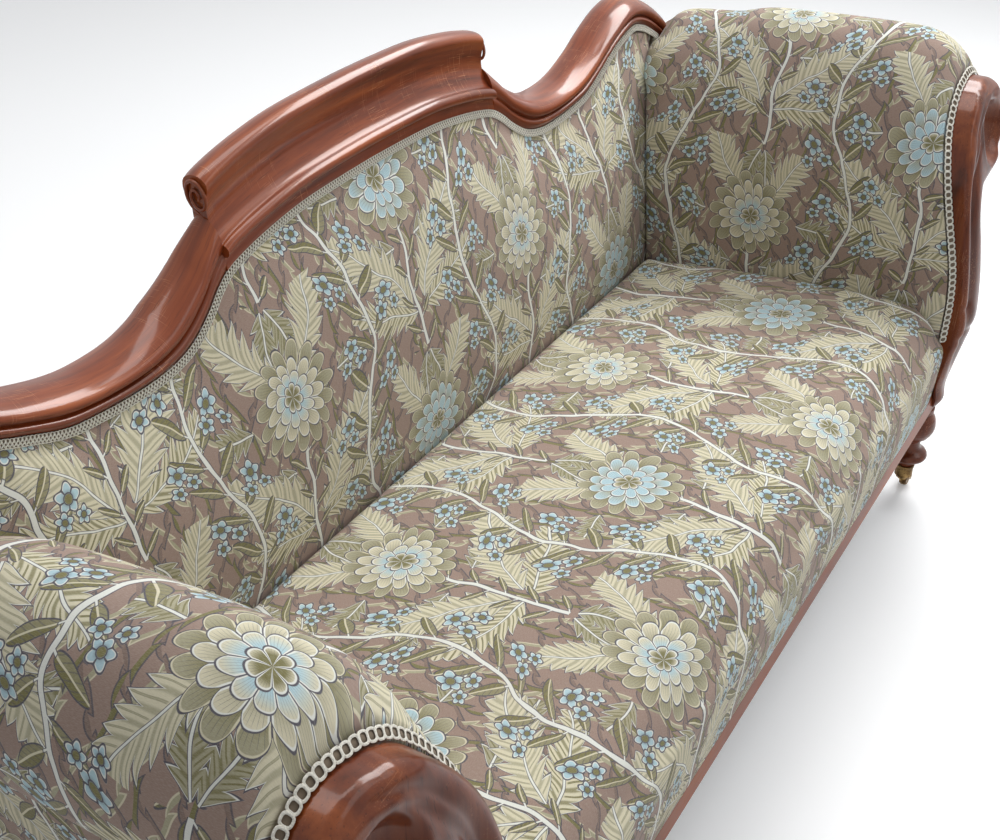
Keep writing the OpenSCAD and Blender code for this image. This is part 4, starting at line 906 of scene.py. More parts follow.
def build_bottom_cloth():
    """The lining under the seat frame, with openings round the legs."""
    low, thick = RAIL_Z - 3, 0.9
    x = np.linspace(-FRAME_HALF + 1, FRAME_HALF - 1, 121)
    y = np.linspace(STRIP_BACK + 1, REAR_BACK - 1, 49)[:, None]
    sag = hollow((x + FRAME_HALF) / (2 * FRAME_HALF), (y - STRIP_BACK) / (REAR_BACK - STRIP_BACK), 5.0)
    front = grid(x, y, low - sag)
    obj = closed_sheet("bottom_lining", front, front + np.array([0, 0, thick]), x / 1000, -y[:, 0] / 1000)
    bm = bmesh.new()
    for side in (-1, 1):
        round_hole = bmesh.ops.create_cone(bm, cap_ends=True, segments=48, radius1=0.5, radius2=0.5, depth=1.0)
        square_hole = bmesh.ops.create_cube(bm, size=1.0)
        for made, hole_x, hole_y, width in ((round_hole, FRAME_HALF - 32, STRIP_BACK + 18, 0.084),
                                            (square_hole, FRAME_HALF - 36, 2, 0.086)):
            middle = Vector(placed([side * hole_x, hole_y, low]))
            turn = Matrix.Translation(middle) @ Matrix.Diagonal((width, width, 0.06, 1))
            bmesh.ops.transform(bm, matrix=turn, verts=made["verts"])
    mesh = bpy.data.meshes.new("leg_openings")
    bm.to_mesh(mesh)
    bm.free()
    cutter = bpy.data.objects.new("leg_openings", mesh)
    bpy.context.scene.collection.objects.link(cutter)
    cut = obj.modifiers.new("legs", "BOOLEAN")
    cut.operation, cut.object, cut.solver = "DIFFERENCE", cutter, "EXACT"
    modified(obj)
    bpy.data.objects.remove(cutter)
    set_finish(obj, "bottom_cloth")
    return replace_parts(obj, "bottom_cloth")


def build_hessian():
    """The canvas over the springs, falling to the rails at front and back."""
    rail_top = RAIL_Z + RAIL_H + 2
    profile = finer([[REAR_FRONT, REAR_TOP - 26], [REAR_FRONT, REAR_TOP],
                     [REAR_FRONT - CANVAS_SLOPE, HESSIAN_Z], [-270, HESSIAN_Z + 0.1],
                     [RAIL_BACK + CANVAS_SLOPE, HESSIAN_Z], [RAIL_BACK, rail_top], [STRIP_BACK, rail_top]], 1)
    x = np.linspace(-SEAT_HALF + 0.6, SEAT_HALF - 0.6, 60)
    return taut_sheet("spring_canvas", grid(x, profile[:, :1], profile[:, 1:]), 2.0,
                      "spring_hessian", "hessian", away=(0, 0, -1))


def build_back_canvas():
    """The canvas behind the back's stuffing."""
    x = np.linspace(-1, 1, 91) * (FRAME_HALF - 15.4)
    z = PAD_LOW + np.linspace(0, 1, 40)[:, None] * (show_z(x) - 3.4 - PAD_LOW)
    return taut_sheet("back_canvas_sheet", grid(x, plane_y(z) + PAD_BACK, z), 1.9,
                      "back_canvas", "hessian")


spring_x = [(i + 0.5) * SEAT_LEN / SPRING_COLUMNS - SEAT_HALF for i in range(SPRING_COLUMNS)]
spring_y = [RAIL_BACK + (REAR_FRONT - RAIL_BACK) * (j + 0.5) / SPRING_ROWS for j in range(SPRING_ROWS)]


def build_webbing():
    """Bands of webbing under the springs, the long ones passing over and under the short ones."""
    z, wide = RAIL_Z - 1.0, 50.0
    webs = Gathered()

    def band(line, lifts, across):
        rows = np.stack([line + np.array(across) * (w * wide) + np.outer(lifts + h, [0, 0, 1])
                         for w, h in ((-0.5, -0.4), (0.5, -0.4), (0.5, 0.4), (-0.5, 0.4))], 1)
        place = [(s / 1000, side * wide / 1000) for s in lengths(line) for side in (0, 1, 1, 0)]
        faces = ring_faces(len(line), 4)
        webs.add(rows.reshape(-1, 3), faces, [place[k] for f in faces[:-2] for k in f] + [(0, 0)] * 8)

    def over(t, crossings, first):
        return sum((0.5 if (n + first) % 2 else -0.5) * np.exp(-((t - c) / 22.0) ** 4)
                   for n, c in enumerate(crossings))

    for n, x in enumerate(spring_x):
        t = np.linspace(STRIP_BACK + 2, REAR_BACK - 2, 120)
        band(grid(x, t, z), over(t, spring_y, n), (1, 0, 0))
    for n, y in enumerate(spring_y):
        t = np.linspace(-FRAME_HALF + 2, FRAME_HALF - 2, 300)
        band(grid(t, y, z), -over(t, spring_x, n), (0, 1, 0))
    obj = webs.joined("webbing_bands", smooth=False)
    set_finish(obj, "webbing")
    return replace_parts(obj, "seat_webbing")


def build_springs():
    """Hourglass coil springs standing on the webbing, with closed end turns."""
    high, turns, wire, end_r, waist = HESSIAN_Z - 2 - RAIL_Z, 7, 1.9, 42, 0.34
    t = np.linspace(0, 1, turns * 22)
    rise = wire + (high - 2 * wire) * np.clip((t - 0.09) / 0.82, 0, 1)
    radius = (end_r - wire) * (1 - waist * (1 - np.abs(2 * t - 1)) ** 1.2)
    angle = t * turns * 2 * math.pi
    coil = grid(radius * np.cos(angle), radius * np.sin(angle), rise)
    springs = Gathered()
    for x in spring_x:
        for y in spring_y:
            springs.add(*tube(coil + np.array([x, y, RAIL_Z]), wire, 6))
    obj = springs.joined("coil_springs")
    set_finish(obj, "steel")
    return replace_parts(obj, "seat_springs")


# ---------------------------------------------------------------- material wiring
def arithmetic(operation, flipped=False):
    def apply(self, other):
        return self.graph.math(operation, *((other, self) if flipped else (self, other)))
    return apply


class Wire:
    """A number carried along a material's links, with ordinary arithmetic."""

    def __init__(self, graph, socket):
        self.graph, self.socket = graph, socket

    __add__ = __radd__ = arithmetic("ADD")
    __sub__ = arithmetic("SUBTRACT")
    __rsub__ = arithmetic("SUBTRACT", flipped=True)
    __mul__ = __rmul__ = arithmetic("MULTIPLY")
    __truediv__ = arithmetic("DIVIDE")
    __pow__ = arithmetic("POWER")


class Graph:
    """Builds the nodes of one material or world."""

    def __init__(self, owner):
        owner.use_nodes = True
        self.owner, self.tree = owner, owner.node_tree
        self.tree.nodes.clear()

    def node(self, kind, values=(), **settings):
        """A node with its settings, and with values or wires put in its sockets."""
        n = self.tree.nodes.new(kind)
        for key, value in settings.items():
            setattr(n, key, value)
        for key, value in dict(values).items():
            socket = n.inputs[key]
            if isinstance(value, Wire):
                self.tree.links.new(value.socket, socket)
            elif isinstance(value, (tuple, list)):
                opaque = (1.0,) * (len(socket.default_value) - len(value))
                socket.default_value = (*value, *opaque)
            else:
                socket.default_value = value
        return n

    def wire(self, kind, values=(), out=0, **settings):
        """What comes out of such a node."""
        return Wire(self, self.node(kind, values, **settings).outputs[out])

    def math(self, operation, *values):
        return self.wire("ShaderNodeMath", enumerate(values), operation=operation)

    def pingpong(self, a, half):
        return self.math("PINGPONG", a, half)

    def wrap(self, a, low, high):
        return self.math("WRAP", a, high, low)

    def most(self, a, b):
        return self.math("MAXIMUM", a, b)

    def size(self, a):
        return self.math("ABSOLUTE", a)

    def step(self, value, start, end):
        """Smooth step of a value from 0 at start to 1 at end."""
        low, high = (0.0, 1.0) if start <= end else (1.0, 0.0)
        ends = {"From Min": min(start, end), "From Max": max(start, end), "To Min": low, "To Max": high}
        return self.wire("ShaderNodeMapRange", {"Value": value, **ends}, "Result",
                         interpolation_type="SMOOTHSTEP")

    def surface(self):
        """The piece's own surface coordinates, in metres along and across."""
        return self.wire("ShaderNodeUVMap", uv_map="surface")

    def place(self):
        """Position in the object's own axes, in metres."""
        return self.wire("ShaderNodeTexCoord", out="Object")

    def moved(self, vector, location, turn):
        """Coordinates round another origin, turned."""
        values = {"Vector": vector, "Location": location, "Rotation": (0, 0, turn)}
        return self.wire("ShaderNodeMapping", values, vector_type="TEXTURE")

    def scaled(self, vector, scale, turn=0.0):
        values = {"Vector": vector, "Rotation": (0, 0, turn), "Scale": scale}
        return self.wire("ShaderNodeMapping", values, vector_type="POINT")

    def split(self, vector):
        return [Wire(self, s) for s in self.node("ShaderNodeSeparateXYZ", {0: vector}).outputs]

    def joined(self, x, y):
        return self.wire("ShaderNodeCombineXYZ", {0: x, 1: y})

    def noise(self, vector, scale, detail=2.0, rough=0.5, warp=0.0, out="Fac"):
        values = {"Vector": vector, "Scale": scale, "Detail": detail, "Roughness": rough, "Distortion": warp}
        return self.wire("ShaderNodeTexNoise", values, out)

    def pointiness(self):
        return self.wire("ShaderNodeNewGeometry", out="Pointiness")

    def ramp(self, value, stops):
        n = self.node("ShaderNodeValToRGB", {0: value})
        e = n.color_ramp.elements
        while len(e) < len(stops):
            e.new(0.5)
        for item, (where, colour) in zip(e, stops):
            item.position, item.color = where, (*colour, 1)
        return Wire(self, n.outputs[0])

    def mix(self, share, a, b):
        return self.wire("ShaderNodeMix", {0: share, 6: a, 7: b}, out=2, data_type="RGBA")

    def bump(self, height, strength, distance):
        return self.wire("ShaderNodeBump", {"Strength": strength, "Distance": distance, "Height": height})

    def finish(self, colour, rough, **sockets):
        """Ends a material with its shader."""
        names = {key.replace("_", " ").title().replace("Ior", "IOR"): value for key, value in sockets.items()}
        shader = self.wire("ShaderNodeBsdfPrincipled", {"Base Color": colour, "Roughness": rough, **names})
        self.node("ShaderNodeOutputMaterial", {0: shader})
        return self.owner


def material(name):
    return Graph(bpy.data.materials.new(name))


def shade(r, g, b):
    """A colour as a paint chart gives it, 0 to 255, as the linear values a shader takes."""
    out = []
    for c in (r, g, b):
        c /= 255
        out.append(c / 12.92 if c <= 0.04045 else ((c + 0.055) / 1.055) ** 2.4)
    return tuple(out)


def drawn_out(grain, along, across):
    """Scales of a texture drawn out along one of the axes."""
    return tuple(along if axis == grain else across for axis in "xyz")


# ---------------------------------------------------------------- wood, metal and plain cloth
def polished_wood(name, c, grain="surface", tone=1.0, gloss=1.0):
    """French-polished mahogany: grain drawn out along the piece, pores, old scratches and a
    thin coat of polish. grain is 'surface' for swept mouldings, or the axis it runs along."""
    g = material(name)
    if grain == "surface":
        along, long, short = g.surface(), (1.6, 26.0, 1.0), (22.0, 420.0, 1.0)
    else:
        along, long, short = g.place(), drawn_out(grain, 1.6, 22.0), drawn_out(grain, 22.0, 380.0)
    broad = g.noise(g.scaled(along, long), 1.0, 4.0, 0.55, 0.6)
    fine = g.noise(g.scaled(along, tuple(v * 3.2 for v in long)), 1.0, 5.0, 0.62, 0.3)
    cloudy = g.noise(along, 5.0)
    figure = broad * 0.55 + fine * 0.3 + cloudy * 0.25
    # tone below 1 darkens the whole wood: painted shade for pieces that stand in shade or catch a bright
    # reflection.
    deep, middle, warm = ([tone * v for v in k] for k in (c.wood_deep, c.wood_middle, c.wood_warm))
    colour = g.ramp(figure, [(0.36, deep), (0.52, middle), (0.7, warm)])
    pore = g.step(g.noise(g.scaled(along, short), 1.0, 1.0), 0.62, 0.72)
    colour = g.mix(pore * 0.4, colour, [k * 0.45 for k in deep])
    scratch = 0.0
    lying = (900.0, 24.0, 900.0) if grain == "surface" else (900.0, 900.0, 24.0)
    for turn, stretched in ((0.5, lying), (-0.7, (26.0, 760.0, 760.0))):
        scratch = g.step(g.noise(g.scaled(along, stretched, turn), 1.0, 0.0, 0.4), 0.70, 0.76) + scratch
    scratch = scratch * g.step(g.noise(along, 9.0, 1.0), 0.48, 0.62)
    colour = g.mix(scratch * (0.45 if grain == "surface" else 0.25), colour, shade(214, 150, 108))
    # Painted shade: the colour darkens in hollows and creases, where pointiness is low. The next step makes
    # raised ridges lighter and warmer.
    edge = g.pointiness()
    colour = g.mix(g.step(edge, 0.49, 0.40) * 0.75, colour, [k * 0.22 for k in deep])
    colour = g.mix(g.step(edge, 0.53, 0.60) * 0.3, colour, [min(1, k * 1.3) for k in warm])
    return g.finish(colour, 0.27 + fine * 0.14 + scratch * 0.2, coat_weight=0.5 * gloss, coat_roughness=0.1,
                    specular_ior_level=0.36 * gloss, specular_tint=(1.0, 0.6, 0.44),
                    normal=g.bump(fine * 0.6 + pore * -0.6 + broad * 0.5, 0.10, 0.0006))


def timber(name, light, dark, rough, axis="z"):
    """Plain sawn or stained frame wood with its grain along an axis."""
    g = material(name)
    p = g.place()
    broad = g.noise(g.scaled(p, drawn_out(axis, 1.5, 20.0)), 1.0, 4.0, 0.6, 0.5)
    fine = g.noise(g.scaled(p, drawn_out(axis, 9.0, 160.0)), 1.0, 3.0, 0.6)
    colour = g.ramp(broad * 0.65 + fine * 0.35, [(0.38, dark), (0.62, light)])
    return g.finish(colour, rough + fine * 0.12, normal=g.bump(fine, 0.25, 0.0006))


def woven(name, warp_colour, weft_colour, pitch, rough=0.9, lift=0.35, stripe=None):
    """Plain woven cloth: threads over and under at a pitch in metres, on the piece's own place."""
    g = material(name)
    x, y, z = g.split(g.place())
    a, b = (g.math("SINE", way * (math.pi / pitch)) for way in (x + z * 0.35, y + z))
    over = g.step(a * b, -0.35, 0.35)
    slub = g.noise(g.place(), 340.0, 2.0, 0.6)
    faded = g.noise(g.place(), 4.0, 3.0, 0.55)
    colour = g.mix(over, warp_colour, weft_colour)
    colour = g.mix(slub * 0.35, colour, [c * 0.55 for c in warp_colour])
    if stripe:
        colour = g.mix(g.step(g.size(g.wrap(x, -0.025, 0.025)), 0.016, 0.018), colour, stripe)
    colour = g.mix(g.step(faded, 0.4, 0.7) * 0.25, colour, [min(1, c * 1.3) for c in weft_colour])
    return g.finish(colour, rough, sheen_weight=0.12, sheen_roughness=0.5,
                    normal=g.bump(over + slub * 0.5, lift, 0.0008))


def metal(name, bright, dull, rough):
    """Old cast or drawn metal, dull and rubbed bright in patches at random."""
    g = material(name)
    p = g.place()
    cloud = g.noise(p, 55.0, 4.0, 0.6, 0.4)
    speck = g.noise(p, 420.0, 2.0, 0.6)
    share = g.step(cloud * 0.75 + speck * 0.25, 0.38, 0.62)
    return g.finish(g.mix(share, dull, bright), rough + (1 - share) * 0.22, metallic=0.9,
                    normal=g.bump(speck + cloud, 0.15, 0.0005))


def cord(name, tone):
    """Soft spun cord, streaked darker along its twist and soiled in patches. Creases between cords are painted
    darker (painted shade), and the strip under the cords takes a dark brown that stands for the shade in the
    braid's holes.
    """
    g = material(name)
    p = g.place()
    twist = g.noise(g.scaled(p, (700, 260, 700), 0.6), 1.0, 2.0, 0.6)
    soil = g.noise(p, 14.0, 3.0, 0.6)
    colour = g.mix(g.step(twist, 0.62, 0.38) * 0.35, tone, [k * 0.42 for k in tone])
    colour = g.mix(g.step(soil, 0.45, 0.7) * 0.2, colour, [k * 0.75 for k in tone])
    # Painted shade: darker in the creases between cords, where pointiness is low.
    colour = g.mix(g.step(g.pointiness(), 0.47, 0.40) * 0.3, colour, [k * 0.4 for k in tone])
    # Painted shade: the strip under the cords, marked by its second surface coordinate, is dark brown for the
    # braid's holes.
    colour = g.mix(g.split(g.surface())[1], colour, shade(112, 98, 80))
    return g.finish(colour, 0.88, sheen_weight=0.1, normal=g.bump(twist, 0.5, 0.0005))


# ---------------------------------------------------------------- printed cover cloth
def petals(g, r, turn, radius, count, offset, fill, tip, rim, line):
    """One ring of petals round a bloom, as its cover mask and its colour."""
    across = g.size(g.wrap(turn * (count / (2 * math.pi)) + offset, -0.5, 0.5)) * 2
    edge = radius * (1 - 0.27 * across ** 2.4)
    inside = g.step(r - edge, 0.5, -0.5)
    colour = g.mix(g.step(r / radius, 0.45, 0.95), fill, tip)
    rays = g.size(g.math("SINE", turn * (count * 3.5)))
    colour = g.mix(g.step(rays, 0.22, 0.05) * g.step(r / radius, 0.96, 0.8) * 0.7, colour, line)
    colour = g.mix(g.most(g.step(r - edge, -4.4, -3.2), g.step(across, 0.74, 0.82)), colour, rim)
    drawn = g.most(g.step(g.size(r - edge + 0.8), 1.5, 0.8), g.step(across, 0.9, 0.96))
    return inside, g.mix(drawn, colour, line)


def frond(g, cell, base, lean, long, half, bend, tooth, fill, shade_tone, rim, line):
    """A feathery leaf from its base, leaning in degrees from upright, as mask and colour."""
    x, y, _ = g.split(g.moved(cell, (*base, 0), -math.radians(lean)))
    x = x - y * y * bend
    share = y / long
    bulge = g.math("POWER", g.most(share * (1 - share), 0.0), 0.55)
    side = g.size(x)
    lobe = g.pingpong(y - side * 0.95, tooth / 2) / (tooth / 2)
    edge = bulge * (2.1 * half) * (0.5 + 0.5 * lobe ** 0.75)
    off = side - edge
    inside = g.step(off, 0.5, -0.5) * g.step(bulge, 0.04, 0.08)
    colour = g.mix(g.step(lobe, 0.5, 0.15) * 0.8, fill, shade_tone)
    colour = g.mix(g.step(g.size(lobe - 0.93), 0.09, 0.04) * g.step(side, 2, 5), colour, shade_tone)
    colour = g.mix(g.step(off, -3.4, -2.5), colour, rim)
    colour = g.mix(g.step(g.size(off + 0.7), 1.3, 0.7), colour, line)
    colour = g.mix(g.step(side, 2.3, 1.7), colour, line)
    return inside, g.mix(g.step(side, 1.5, 1.0), colour, rim)


def blossom(g, x, y, radius, fill, rim, heart, line):
    """A small five-petalled flower at the origin of x and y."""
    r = g.math("SQRT", x * x + y * y)
    around = g.math("COSINE", g.math("ARCTAN2", y, x) * 5)
    edge = radius * (0.84 + 0.16 * around)
    inside = g.step(r - edge, 1.4, 0.6)
    colour = g.mix(g.step(r / radius, 0.62, 0.3) * 0.45, fill, line)
    colour = g.mix(g.step(r - edge, -3.2, -1.6), colour, rim)
    colour = g.mix(g.step(around, -0.8, -0.93) * g.step(r, radius * 0.3, radius * 0.4), colour, line)
    colour = g.mix(g.step(r, radius * 0.32, radius * 0.26), colour, heart)
    colour = g.mix(g.step(g.size(r - radius * 0.34), 0.9, 0.4), colour, line)
    return inside, g.mix(g.step(g.size(r - edge), 1.4, 0.7), colour, line)


def vine(g, colour, off, run, pitch, long, half, shown, tones):
    """A pale stem along run with a leaf on each side at every pitch, laid over a colour."""
    olive, sage, cream, white, slate = tones
    right = g.math("GREATER_THAN", off, 0.0)
    reach = g.size(off)
    lean = g.wrap(run - reach * 0.75 + right * (pitch / 2), -pitch / 2, pitch / 2)
    share = (reach - 5) / (long - 6)
    leaf = g.size(lean) - half * g.math("POWER", g.most(share * (1 - share), 0.0), 0.62)
    on = g.step(share, 0.0, 0.06) * g.step(share, 1.0, 0.96) * shown
    body = g.mix(g.step(lean, 0.3, -0.3) * 0.4, olive, sage)
    body = g.mix(g.step(g.size(g.wrap(lean + reach * 0.9, -3.4, 3.4)), 0.9, 0.4) * 0.5, body, slate)
    body = g.mix(g.step(g.size(lean), 1.3, 0.8), body, cream)
    body = g.mix(g.step(g.size(leaf), 1.4, 0.7), body, slate)
    colour = g.mix(g.step(leaf, 0.9, 0.2) * on, colour, body)
    twig = g.step(g.size(lean), 2.1, 1.5) * g.step(reach, 9, 8)
    colour = g.mix(g.most(g.step(reach, 4.2, 3.6), twig) * shown, colour, slate)
    twig = g.step(g.size(lean), 1.3, 0.9) * g.step(reach, 8, 7)
    return g.mix(g.most(g.step(reach, 3.1, 2.5), twig) * shown, colour, white), reach, right


def cover_cloth(name, c, flat=None):
    """The printed cover: round blooms, feathery fronds and flowering vines in a half-drop
    repeat over a close ground of blades, in lengths of millimetres. flat names the two axes
    that the print lies along where a piece has no surface coordinates of its own."""
    g = material(name)
    if flat:
        axes = dict(zip("xyz", g.split(g.place())))
        spot = g.joined(axes[flat[0]], axes[flat[1]])
    else:
        spot = g.surface()
    spot = g.scaled(spot, (1000, 1000, 1000))
    du, dv, _ = g.split(g.noise(spot, 0.011, 1.5, out="Color"))
    u, v, _ = g.split(spot)
    u, v = u + (du - 0.5) * 34, v + (dv - 0.5) * 34
    wide, tall = 1000 * c.repeat_width, 1000 * c.repeat_height
    column = g.math("FLOOR", u / wide + 0.5)
    odd = g.pingpong(column, 1.0)
    cu = u - column * wide
    cv = g.wrap(v + column * (tall / 2), -tall / 2, tall / 2)
    pair = g.joined(g.size(cu), cv)
    ground, cream, white, sage, olive, blue, slate = (
        tuple(k) for k in (c.ground, c.cream, c.white, c.sage, c.olive, c.blue, c.slate))
    tones = olive, sage, cream, white, slate
    dusk = [k * 0.72 for k in ground]

    # blades of the ground
    colour = ground
    for turn, pitch, tint, rim in ((0.5, 44.0, sage, cream), (-0.62, 36.0, dusk, slate),
                                   (0.15, 52.0, olive, slate)):
        bx, by, _ = g.split(g.moved(g.joined(u, v), (pitch * 0.37, 0, 0), turn))
        step = g.math("FLOOR", bx / pitch)
        lx = g.wrap(bx, -pitch / 2, pitch / 2)
        ly = g.wrap(by + step * (pitch * 0.61), -pitch * 0.6, pitch * 0.6)
        lean = g.size(lx - ly * ly * 0.012)
        blade = lean - (5.2 - ly * ly * (5.2 / (pitch * 0.46) ** 2))
        colour = g.mix(g.step(blade, 0.4, -0.4), colour, tint)
        colour = g.mix(g.step(g.size(blade), 1.1, 0.5) * 0.85, colour, rim)

    def lay(colour, drawn):
        mask, own = drawn
        return g.mix(mask, colour, own)

    fronds = (((14, -128), 33, 212, 41, 0.0012, 20, cream, sage),
              ((8, -140), 84, 152, 35, -0.0018, 18, cream, olive),
              ((22, 96), 42, 150, 36, -0.0014, 18, cream, sage),
              ((30, -40), 78, 128, 29, 0.0021, 16, sage, olive),
              ((4, 190), 158, 96, 26, 0.0016, 15, sage, olive),
              ((90, 60), 96, 72, 24, -0.0022, 14, sage, olive))
    for base, lean, long, half, bend, tooth, fill, tone in fronds[::-1]:
        colour = lay(colour, frond(g, pair, base, lean, long, half, bend, tooth, fill, tone, white, slate))

    # leafy stem up the middle of each repeat
    sway = cu - 7 * g.math("SINE", cv * (2 * math.pi / tall))
    below = g.step(cv, 26, 18)
    colour = vine(g, colour, sway, cv, tall / 9, 34, 15, below, tones)[0]

    # bloom
    bx, by = cu, cv - 62
    r = g.math("SQRT", bx * bx + by * by)
    turn = g.math("ARCTAN2", by, bx)
    second = g.mix(odd, blue, cream)
    for ring in ((82.0, 15, 0.0, olive, sage, cream), (62.0, 13, 0.3, sage, second, white),
                 (42.0, 10, 0.1, blue, second, white), (22.0, 7, 0.4, olive, cream, white)):
        colour = lay(colour, petals(g, r, turn, *ring, slate))

    # flowering vine between the repeats
    vu = u - wide / 2
    side = g.math("FLOOR", vu / wide + 0.5)
    run = v + side * (tall / 2)
    off = vu - side * wide - 30 * g.math("SINE", run * (2 * math.pi / tall))
    pitch = tall / 8
    colour, reach, right = vine(g, colour, off, run, pitch, 50, 23, 1.0, tones)
    for place, start, size in ((47, 0.62, 17.0), (31, 1.05, 13.5), (60, 1.12, 12.0)):
        fy = g.wrap(run + right * pitch + pitch * start, -pitch, pitch)
        colour = lay(colour, blossom(g, reach - place, fy, size, blue, white, olive, slate))

    # weave, slubs and the slow change of tone of washed cloth
    warp, weft = (g.math("SINE", way * (2 * math.pi / 0.9)) for way in g.split(spot)[:2])
    slub = g.noise(g.scaled(spot, (0.25, 1.7, 1)), 1.0, 2.0, 0.6)
    cloudy = g.noise(spot, 0.006, 3.0, 0.55)
    colour = g.mix(g.step(slub, 0.42, 0.7) * 0.12, colour, white)
    colour = g.mix(g.step(slub, 0.52, 0.3) * 0.12, colour, slate)
    colour = g.mix(g.step(cloudy, 0.45, 0.75) * 0.10, colour, ground)
    return g.finish(colour, 0.84, sheen_weight=0.14, sheen_roughness=0.45, specular_ior_level=0.25,
                    normal=g.bump(warp * weft * 0.5 + slub, 0.22, 0.0007))


# ---------------------------------------------------------------- stage
def build_stage(c):
    scene = bpy.context.scene
    cam = bpy.data.objects.new("camera", bpy.data.cameras.new("camera"))
    cam.data.sensor_width, cam.data.lens, cam.data.clip_end = 36, c.lens, 60
    right = Vector((0.51193, -0.85894, 0.01204))
    up = Vector((0.47077, 0.29225, 0.83245))
    ahead = Vector((0.71854, 0.42049, -0.55397))
    m = Matrix((right, up, -ahead)).transposed().to_4x4()
    m.translation = Vector((-1.504, -0.77569, 1.656))
    cam.matrix_world = m
    scene.collection.objects.link(cam)
    scene.camera = cam

    bm = bmesh.new()
    bmesh.ops.create_grid(bm, x_segments=1, y_segments=1, size=14)
    mesh = bpy.data.meshes.new("floor")
    bm.to_mesh(mesh)
    bm.free()
    floor = bpy.data.objects.new("floor", mesh)
    scene.collection.objects.link(floor)
    floor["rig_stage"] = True
    g = material("pale_floor")
    seen = g.wire("ShaderNodeLightPath", out="Is Camera Ray")
    mesh.materials.append(g.finish(tuple(c.floor_colour), 0.9, emission_color=(1, 1, 1),
                                   emission_strength=seen * 0.22))

    scene.world = bpy.data.worlds.new("studio")
    w = Graph(scene.world)
    path = w.node("ShaderNodeLightPath").outputs
    seen, glossy, through = (Wire(w, path[key])
                             for key in ("Is Camera Ray", "Is Glossy Ray", "Is Transmission Ray"))
    light = w.wire("ShaderNodeBackground", {"Color": (0.93, 0.95, 1), "Strength": c.sky_strength})
    pale = w.wire("ShaderNodeBackground", {"Color": (0.9, 0.9, 0.9)})
    sky = w.wire("ShaderNodeMixShader", {0: w.most(seen, w.most(glossy, through)), 1: light, 2: pale})
    w.node("ShaderNodeOutputWorld", {0: sky})

    for name, place, aim, size, power, colour in (
            ("key", (1.3, -2.6, 3.2), (0, 0, 0.5), (2.6, 1.2), c.key_power, (0.97, 0.98, 1)),
            ("top", (0.5, 0.6, 3.8), (0, 0, 0.6), (3.2, 1.0), c.top_power, (0.97, 0.98, 1)),
            ("window", (2.8, -0.4, 3.3), (0, 0.1, 0.7), (2.4, 1.3), c.window_power, (0.97, 0.98, 1)),
            ("fill", (-3.4, -1.6, 2.2), (0, 0, 0.5), (1.6, 1.6), c.fill_power, (0.95, 0.97, 1))):
        data = bpy.data.lights.new(name, "AREA")
        data.shape, data.energy, data.color = "RECTANGLE", power, colour
        data.size, data.size_y = size
        lamp = bpy.data.objects.new(name, data)
        lamp.location = place
        lamp.rotation_euler = (Vector(aim) - Vector(place)).to_track_quat("-Z", "Y").to_euler()
        scene.collection.objects.link(lamp)
    scene.view_settings.view_transform = "Standard"


# ---------------------------------------------------------------- finishes
def wear(obj, finish, node):
    """Gives a piece one material. A frame node keeps its mesh and has it in its own slots."""
    if not node:
        obj.data.materials.clear()
    if not obj.material_slots:
        obj.data.materials.append(finish)
    for k in range(len(obj.material_slots)):
        obj.material_slots[k].material = finish


def finish_all(c):
    """Lays a finish on every piece, and on every frame node that still shows."""
    cloth = cover_cloth("printed_cover", c)
    boards = cover_cloth("printed_cover_boards", c, flat="xz")
    moulded = polished_wood("polished_mouldings", c)
    # Painted shade: the uprights and facings take the wood darkened to 0.6 because they stand in shade, and the
    # strip under the seat takes it darkened to 0.8 against the floor's bright reflection on it.
    upright = polished_wood("shaded_polished_uprights", c, grain="z", tone=0.6, gloss=0.8)
    lengthways = polished_wood("shaded_polished_strip", c, grain="x", tone=0.8, gloss=0.3)
    stained = timber("stained_leg_wood", shade(120, 62, 36), shade(66, 32, 20), 0.38)
    beech = {a: timber(f"beech_along_{a}", shade(206, 172, 128), shade(168, 128, 86), 0.62, a) for a in "xyz"}
    braid = cord("braid_cord", tuple(c.braid_colour))
    hessian = woven("hessian_weave", shade(178, 150, 108), shade(150, 122, 84), 0.0022, lift=0.6)
    webbing = woven("webbing_weave", shade(190, 170, 132), shade(156, 134, 98), 0.0018,
                    stripe=shade(96, 70, 58))
    lining = woven("lining_weave", shade(50, 48, 50), shade(30, 29, 32), 0.0012)
    steel = metal("spring_steel", shade(150, 152, 156), shade(88, 86, 86), 0.36)
    brass = metal("aged_brass", tuple(c.brass_colour), shade(92, 68, 42), 0.30)
    along = {"front_show_moulding": lengthways, "seat_cross_rail": beech["y"], "arm_tack_rails": beech["y"]}
    along |= {name: beech["x"] for name in ("front_seat_rail", "rear_seat_rail", "back_tack_rails")}
    along |= {f"{side}_{rail}": beech["y"] for side in SIDES for rail in ("side_rail", "arm_rail")}
    by_slot = {"show_wood": upright, "plain_wood": stained, "frame_wood": beech["z"], "cover_cloth": cloth,
               "gimp_braid": braid, "hessian": hessian, "webbing": webbing, "bottom_cloth": lining,
               "steel": steel, "brass": brass}
    slot_of = {row["node"]: row["material_slot"] for row in frame["record"]["subparts"]}
    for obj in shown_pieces():
        node = obj.get("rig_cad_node")
        slot = obj["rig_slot"] if node is None else slot_of[node]
        finish = by_slot[slot]
        if node is None and slot == "show_wood" and "moulding" in obj.name:
            finish = moulded
        elif node is not None:
            finish = boards if slot == "cover_cloth" else along.get(node, finish)
        wear(obj, finish, node)


# ---------------------------------------------------------------- settings
def colour_prop(label, text, rgb=None, default=(0.86, 0.86, 0.85)):
    return bpy.props.FloatVectorProperty(name=label, description=text, subtype="COLOR", size=3, min=0, max=1,
                                         default=shade(*rgb) if rgb else default)


def length_prop(label, text, default, low, high):
    return bpy.props.FloatProperty(name=label, description=text, default=default, min=low, max=high,
                                   unit="LENGTH", subtype="DISTANCE")


def power_prop(label, text, default):
    return bpy.props.FloatProperty(name=label, description=text, default=default, min=0, max=1000, unit="POWER")


